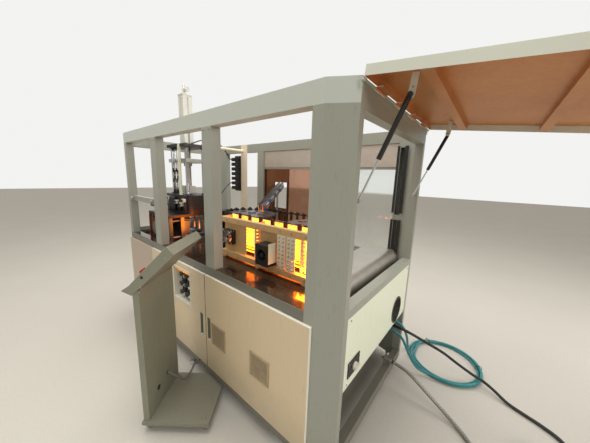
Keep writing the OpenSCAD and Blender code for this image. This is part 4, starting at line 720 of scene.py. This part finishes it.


# Flap door and gas struts
# A folded-sheet door on a piano hinge, held up by two gas struts: white powder coat outside, and inside bare
# galvanised sheet with hat ribs, whose orange colour is painted reflection of the warm light below it.
galvanised, tree, skin, place = new_material("galvanised_sheet_painted_reflection_inside_white_outside")
spangle = node(tree, "TexVoronoi", {"Vector": place, "Scale": 1000 / 22})
clouds = node(tree, "TexNoise", {"Vector": place, "Scale": 1000 / 400, "Detail": 5.0})
mixed = node(tree, "Math", {0: spangle.outputs["Distance"], 1: 0.25, 2: clouds}, operation="MULTIPLY_ADD")
# The orange tones on the underside and the rib sides are painted reflection of the warm light below.
inside = node(tree, "Mix", {0: mixed, 6: linear("#b0652a"), 7: linear("#cf9055")}, data_type="RGBA")
outside = node(tree, "Mix", {0: clouds, 6: linear("#d3d5c4"), 7: linear("#e4e6d8")}, data_type="RGBA")
facing = node(tree, "SeparateXYZ", {0: node(tree, "TexCoord").outputs["Normal"]})
below = node(tree, "Math", {0: facing.outputs["Z"], 1: -0.3}, operation="LESS_THAN")
sideways = node(tree, "Math", {0: facing.outputs["X"]}, operation="ABSOLUTE")
side_on = node(tree, "Math", {0: sideways, 1: 0.7}, operation="GREATER_THAN")
along = node(tree, "SeparateXYZ", {0: place})
off_edge = node(tree, "Math", {0: along.outputs["X"], 1: 0.93}, operation="LESS_THAN")
rib = node(tree, "Math", {0: side_on, 1: off_edge}, operation="MULTIPLY")
under = node(tree, "Math", {0: below, 1: rib}, operation="MAXIMUM")
tone = node(tree, "Mix", {0: under, 6: outside, 7: inside}, data_type="RGBA")
metal = node(tree, "Math", {0: under, 1: 0.5}, operation="MULTIPLY")
connect(tree, skin, {"Base Color": tone, "Metallic": metal, "Roughness": 0.4})
dress(galvanised, "end_door", soften=0.0006)
chrome = bare_metal("hard_chromed_steel", "#d6d7d8", "#aeb0b2", 0.14)
dress(black_steel, "strut_tube_near", "strut_tube_far", soften=0.001)
dress(chrome, "strut_rod_near", "strut_rod_far")


# Rear panes
# Acrylic sheet in steel tracks. The fixed pane is tinted brown, and the sliding one has brown film on its
# left part and is clear beyond it. A dull stainless lining with screws covers the header.
fixed_acrylic = moulded("brown_tinted_acrylic", ("#62351d", "#784826"), 200, (0.04, 0.16), clear=0.85)
dress(fixed_acrylic, "rear_window_fixed")
sliding_acrylic = moulded("brown_tinted_acrylic_polished", ("#ac7c61", "#cb9f86"), 500, (0.04, 0.09),
                          detail=2.0, clear=0.9)
painted_over(sliding_acrylic, "#f0f3ef", ("X", "GREATER_THAN", -0.74))
dress(sliding_acrylic, "rear_window_sliding")
header_steel = bare_metal("dull_stainless_header", "#dfd4c8", "#bdb1a5", 0.5, grain=(1.0, 30.0, 30.0))
bm = bmesh.new()
block(bm, (-1678, 1172.6, 1736), (-78, 1174.4, 1924), 0.5)
for x in (-1640, -1260, -880, -500, -120):
    for z in (1905, 1752):
        turned(bm, (x, 1172.8, z), (0, -1, 0), [(5, 0), (5, 1.2), (3.4, 2.4)], 14)
piece("header_lining", bm, header_steel)
bm = bmesh.new()
for x0, x1, z0, z1 in ((-1501, -1497, 1256, 1568), (-1303, -1299, 1256, 1568), (-1497, -1303, 1256, 1260),
                       (-1497, -1303, 1564, 1568)):
    block(bm, (x0, 1177.6, z0), (x1, 1188.4, z1), 0.6)
piece("gate_edging", bm, black_rubber)


# Infrared oven
# Beige enamelled beams and side plates, ceramic lamp holders and terminal plates, and quartz lamps that glow
# orange in front of gold-coated reflectors, which glow too with painted light. Black fans, one behind a
# nickel wire guard, cool the necks.
beige_paint = painted_steel("beige_stove_enamel", "#cda871", "#a98148", 0.42)
dress(beige_paint, "oven_frame", soften=0.001)
ceramic = moulded("cream_steatite_ceramic", ("#d8c7a4", "#f2e8d0"), 3.0, 0.6, detail=4.0)
dress(ceramic, "lamp_holders")
quartz, tree, skin, place = new_material("glowing_quartz_lamp")
coilwork = node(tree, "TexWave", {"Vector": place, "Scale": 1000 / 5 / 6.283}, bands_direction="X")
tone = node(tree, "Mix", {0: coilwork.outputs["Fac"], 6: linear("#ff6404"), 7: linear("#ff9a20")},
            data_type="RGBA")
connect(tree, skin, {"Base Color": tone, "Emission Color": tone, "Emission Strength": 9.0, "Roughness": 0.1})
dress(quartz, "ir_lamps")
dress(black_abs, "oven_fans", "fan_rotor")
# The reflector sheets glow orange by emission: painted glow that stands in for lamp light falling on them.
painted_glow_reflector, tree, skin, place = new_material("gold_coated_reflector_sheet_painted_glow")
ripple = node(tree, "TexNoise", {"Vector": place, "Scale": 1000 / 30, "Detail": 4.0})
tone = node(tree, "Mix", {0: ripple, 6: linear("#e8730c"), 7: linear("#ffb648")}, data_type="RGBA")
glow = node(tree, "MapRange",
            {"Value": ripple, "From Min": 0.3, "From Max": 0.7, "To Min": 2.2, "To Max": 4.6})
connect(tree, skin, {"Base Color": tone, "Emission Color": tone, "Emission Strength": glow, "Metallic": 0.6,
                     "Roughness": 0.3})
lamp_banks = ((-1180, -820), (-740, -360))
neck_pitch, lamp_pitch = 131, 27
reflectors, guides = bmesh.new(), bmesh.new()
for k in range(7):
    x = -1203 + neck_pitch * k
    block(reflectors, (x, 345.6, 1256), (x + 92, 347.6, 1289), 0.4)
    block(guides, (x + 94, 334, 1256), (x + 128, 347.6, 1297), 4)
    for dx in (103, 119):
        turned(guides, (x + dx, 341, 1296), (0, 0, 1), [(7, 0), (7, 9), (4.5, 13)], 12)
for x0, x1 in lamp_banks:
    block(reflectors, (x0 + 8, 451.4, 990), (x1 - 8, 453.4, 1150), 0.6)
# This glowing panel at the right end throws painted glow that shows as an orange reflection in the table.
block(reflectors, (-350, 296, 985), (-284, 298.4, 1232), 0.8)
piece("lamp_reflectors", reflectors, painted_glow_reflector)
piece("neck_guides", guides, black_steel)
plates, plugs = bmesh.new(), bmesh.new()
for x0, x1 in ((-548, -470), (-462, -384)):
    block(plates, (x0, 236, 992), (x1, 239, 1240), 1.2)
    for column in (0.28, 0.72):
        for row in range(8):
            spot = (x0 + (x1 - x0) * column, 236.4, 1012 + 29 * row)
            turned(plugs, spot, (0, -1, 0), [(6, 0), (6, 4), (4, 6), (4, 10), (2, 11)], 12)
piece("lamp_terminal_plates", plates, ceramic)
nickel = bare_metal("nickel_wire", "#c9c2b4", "#8d867a", 0.3)
piece("lamp_terminal_plugs", plugs, nickel)
wire_d = 0.0034
fan = Vector((-1127, 0, 1112))
bm = bmesh.new()
for radius in (18, 30, 42, 54):
    ring = []
    for j in range(29):
        a = math.tau * j / 28
        ring.append((fan + Vector((radius * math.cos(a), 232.4, radius * math.sin(a)))) / 1000)
    sweep(bm, ring, wire_d, 8)
for angle in (45, 135, 225, 315):
    out = Vector((math.cos(math.radians(angle)), 0, math.sin(math.radians(angle))))
    spoke = [(fan + Vector((0, 234.6, 0)) + out * reach) / 1000 for reach in (12, 68)]
    sweep(bm, spoke, wire_d, 8)
    turned(bm, fan + Vector((0, 237.4, 0)) + out * 73.5, (0, -1, 0), [(6, 0), (6, 4), (4.6, 5)], 14)
piece("fan_guard", bm, nickel)
bm = bmesh.new()
block(bm, (-561.2, 166, 1026), (-559.6, 233, 1170), 0.4)
piece("flap_facing", bm, white_paint)
lead_d = 0.0036
beads, wires = bmesh.new(), bmesh.new()
for left_end, right_end in lamp_banks:
    for x, side in ((left_end, -1), (right_end, 1)):
        for k in range(9):
            z = 1004 + lamp_pitch * k
            turned(beads, (x, 303, z), (0, -1, 0), [(6, -1), (6, 10), (4.4, 13), (2, 13)], 14)
            turned(wires, (x, 290, z), (0, -1, 0), [(1.6, 0), (1.6, 8)], 8)
        rising = [(x, 284, 998), (x, 284, 1011), (x, 284, 1016), (x, 284, 1029), (x + side * 3, 281, 1060),
                  (x, 284, 1110), (x + side * 4, 281, 1160), (x, 284, 1222)]
        sweep(wires, smooth(rising, 4), lead_d, 8)
        hooked = [(x, 284, 1222), (x + side * 9, 278, 1232), (x + side * 20, 276.5, 1226),
                  (x + side * 26, 276.5, 1200)]
        sweep(wires, smooth(hooked, 5), lead_d, 8)
piece("lamp_end_beads", beads, ceramic)
piece("lamp_leads", wires, nickel)
bm = bmesh.new()
for x in (-1205, -1130, -985, -760, -690, -520, -420, -300):
    for z in (967, 1257):
        turned(bm, (x, 235, z), (0, -1, 0), [(6.5, -0.4), (6.5, 1.4), (5, 1.6)], 18)
        turned(bm, (x, 233.8, z), (0, -1, 0), [(5, 0), (5, 4.2), (4, 5)], 6)
for x in (-1179, -1039):
    for z in (1054, 1170):
        turned(bm, (x, 233.4, z), (0, -1, 0), [(4, -1), (4, 1.2), (2.6, 1.8)], 12)
piece("oven_screws", bm, zinc_plate)


# Mandrel chain
# Blackened steel carriers on a roller chain, round two machined sprockets over a painted deck with bearing
# posts. A blue-grey gearmotor under the table drives the right-hand sprocket, under a stainless cover.
blackened = bare_metal("oil_blackened_steel", "#56504e", "#2d292a", 0.38)
machined = bare_metal("machined_carbon_steel", "#9b9c9d", "#6b6c6e", 0.32)
deck_paint = painted_steel("oxide_red_primer", "#7c5a48", "#5e4437", 0.5)
motor_paint = painted_steel("blue_grey_machine_enamel", "#66727b", "#515c64", 0.45)
brushed_cover = bare_metal("brushed_stainless_cover", "#d4cfc5", "#a39d92", 0.4, grain=(1.0, 30.0, 30.0))
dress(blackened, "conveyor_chain")
dress(machined, "sprocket_drive", "sprocket_idler")
dress(deck_paint, "conveyor_frame")
dress(motor_paint, "gearmotor", soften=0.002)
dress(brushed_cover, "end_cover", soften=0.0015)


# Preform chute
# Two dull stainless rails with a gap for the preforms' necks, held by cross bars, on a post from the table.
# Blue polyurethane guides keep the preforms upright, and black strips take their wear.
chute_steel = bare_metal("dull_rolled_stainless_chute", "#d2cfc7", "#918d85", 0.34)
blue_polyurethane = moulded("cast_blue_polyurethane", ("#1c4f86", "#2f6fae"), 10, 0.3)
dress(chute_steel, "preform_chute", soften=0.0008)
fall = Vector((-290, 595, 210))
chute_place = (Matrix.Translation((-1.070, 0.560, 1.330))
               @ Matrix.Rotation(math.atan2(fall.y, fall.x), 4, "Z")
               @ Matrix.Rotation(-math.asin(fall.z / fall.length), 4, "Y"))
guides, strips = bmesh.new(), bmesh.new()
for side in (-1, 1):
    y0, y1 = sorted((side * 23.4, side * 30.0))
    block(guides, (24, y0, -26), (fall.length - 16, y1, -4), 1.2, chute_place)
    for k in range(4):
        block(guides, (66 + 150 * k, y0 - 1, 16), (124 + 150 * k, y1 + 1, 27), 2, chute_place)
    y0, y1 = sorted((side * 16.8, side * 22.6))
    block(strips, (2, y0, 40.2), (fall.length - 4, y1, 43.4), 0.8, chute_place)
piece("chute_side_guides", guides, blue_polyurethane)
piece("chute_wear_strips", strips, black_steel)


# Blow station
# Ground steel plates and chromed bars carry two aluminium mould halves. Above them stand the blackened blow
# block on four chromed columns, chromed guide rods, a white square tube and a tall pale anodised cylinder.
clamp_steel = bare_metal("ground_tool_steel", "#7d8185", "#4e5256", 0.3)
mould_alloy = bare_metal("milled_mould_aluminium", "#b9b8b0", "#8f8e88", 0.3)
pale_anodised = bare_metal("pale_anodised_aluminium", "#e4e2d6", "#c6c4b8", 0.36)
connect(pale_anodised.node_tree, pale_anodised.node_tree.nodes["Principled BSDF"], {"Metallic": 0.25})
dress(clamp_steel, "clamp_frame", "platen_front", "platen_rear", soften=0.0012)
dress(mould_alloy, "mould_front", "mould_rear", "stretch_carriage", soften=0.0008)
blow_finish = blackened.copy()
blow_finish.name = "blackened_block_on_chromed_columns"
columns = painted_over(blow_finish, "#cfd0d0", ("Z", "GREATER_THAN", 1.4055), ("Z", "LESS_THAN", 1.8995))
tree = blow_finish.node_tree
rough = node(tree, "MapRange", {"Value": columns, "To Min": 0.42, "To Max": 0.14})
connect(tree, tree.nodes["Principled BSDF"], {"Roughness": rough})
dress(blow_finish, "blow_head", soften=0.0015)
station_x, station_y = -2090, 410
column_foot, column_head = 1405, 1900
bm = bmesh.new()
for x in (station_x - 158, station_x + 158):
    for y in (station_y - 90, station_y + 90):
        turned(bm, (x, y, column_foot), (0, 0, 1), [(27, -0.5), (27, 16), (25, 18), (17.3, 18)], 28)
        turned(bm, (x, y, column_head), (0, 0, -1), [(25, -0.5), (25, 12), (23, 14), (17.3, 14)], 28)
        turned(bm, (x, y, column_head + 30), (0, 0, 1), [(15, -0.5), (15, 10), (13, 12)], 6)
piece("column_collars", bm, machined)
rods, ends = bmesh.new(), bmesh.new()
for k, x in enumerate((-2163, -2128, -2087, -2052)):
    turned(rods, (x, 283.4, column_foot), (0, 0, 1), [(6, 0), (6, 496)], 20)
    for z in (1416, 1530 + 30 * (k % 2), 1640 - 20 * (k % 2)):
        turned(ends, (x, 281, z), (0, 0, 1), [(5.5, 0), (8.4, 3), (8.4, 40), (5.5, 44)], 16)
    turned(ends, (x, 281, 1874), (0, 0, 1), [(8.4, 0), (8.4, 34), (6, 38)], 6)
block(ends, (-2176, 266, 1898), (-2040, 279.8, 1929), 2)
piece("guide_rods", rods, chrome)
piece("guide_rod_ends", ends, black_steel)
bm = bmesh.new()
block(bm, (-2018, 265, column_foot), (-1993, 289.4, 1925), 2.5)
block(bm, (-2022, 262, column_foot), (-1989, 289.4, 1412), 1.5)
piece("white_square_tube", bm, white_paint)
coils, bodies = bmesh.new(), bmesh.new()
for x, z in ((-2270, 1310), (-2215, 1360), (-2030, 1330), (-1930, 1310), (-1880, 1352)):
    block(coils, (x - 20, 224, z - 20), (x + 20, 254.6, z + 20), 4)
    turned(bodies, (x, 224.4, z), (0, -1, 0), [(11, 0), (11, 5), (8, 6), (8, 9)], 16)
valve_body = [(24, 0), (26, 3), (26, 60), (22, 66), (22, 120), (18, 126), (18, 150)]
for x in (-2150, -2090):
    turned(bodies, (x, 236, 1232), (0, 0, 1), valve_body, 28)
for x in (-1990, -1960, -1850):
    turned(bodies, (x, 240, 1240), (0, 0, 1), [(12, 0), (12, 50), (9, 54), (9, 96), (5, 100)], 18)
piece("blow_valve_coils", coils, white_abs)
piece("blow_valve_bodies", bodies, black_abs)
heat_copper = bare_metal("heat_tinted_copper_pipe", "#c0683a", "#6e3a24", 0.28)
bm = bmesh.new()
for x in (-2300, -2222, -1988, -1910):
    bend = [(x, 61, 972), (x, 60, 1020), (x, 60, 1110), (x, 60, 1160), (x + 12, 60, 1182),
            (x + 34, 60, 1186)]
    sweep(bm, smooth(bend, 5), 0.014, 14)
    turned(bm, (x, 60, 958), (0, 0, 1), [(11, 0), (11, 16), (8, 18)], 6)
piece("mould_water_pipes", bm, heat_copper)
bm = bmesh.new()
for x in (-2310, -2200, -2090, -1980, -1870):
    for y, out in ((69.8, -1), (750.2, 1)):
        for z in (975, 1165):
            turned(bm, (x, y, z), (0, out, 0), [(9, 0), (9, 5), (5, 5.2)], 20)
piece("clamp_cap_screws", bm, black_steel)
dress(pale_anodised, "stretch_cylinder", "blow_nozzles", soften=0.001)


# Cable riser, valves and air lines
# A flat pale beige bar with cable holes, and black valve blocks stacked on its side.
# Black nylon tube joins the valves to the stretch cylinder and the blow head.
riser_paint = painted_steel("pale_beige_enamel", "#efe0c3", "#cfbf9f", 0.45)
dress(riser_paint, "cable_riser", soften=0.001)
dress(black_abs, "valve_manifold", soften=0.0015)
dress(moulded("black_nylon_tube", ("#151517", "#2a2a2d"), 10, 0.35), "air_lines")


# Wiring plate
# A galvanised mounting plate behind the right door, with rails and slotted cable ducts.
# Rows of breakers with white faces and black levers are clipped to the rails.
plate_zinc = bare_metal("galvanised_mounting_plate", "#b7bab4", "#8f928d", 0.4)
dress(plate_zinc, "electrical_plate", soften=0.0008)
breaker_pitch, breaker_w = 54, 46
faces, levers = bmesh.new(), bmesh.new()
for row, z in enumerate((260, 430, 600, 760)):
    for i in range(12):
        x = -879 + breaker_pitch * i
        if (i + row) % 3:
            block(faces, (x, 43.2, z - 24), (x + breaker_w, 47.8, z + 59), 2)
            block(levers, (x + 17, 40.4, z + 8), (x + 29, 44.4, z + 28), 1.5)
        else:
            block(levers, (x, 43.4, z - 24), (x + breaker_w, 47.8, z + 59), 2)
        for k in range(3):
            turned(levers, (x + 9 + 14 * k, 43.6, z + 50), (0, -1, 0), [(3.6, 0), (3.6, 0.9), (2, 1.0)], 10)
piece("breaker_faces", faces, white_abs)
piece("breaker_levers", levers, black_abs)
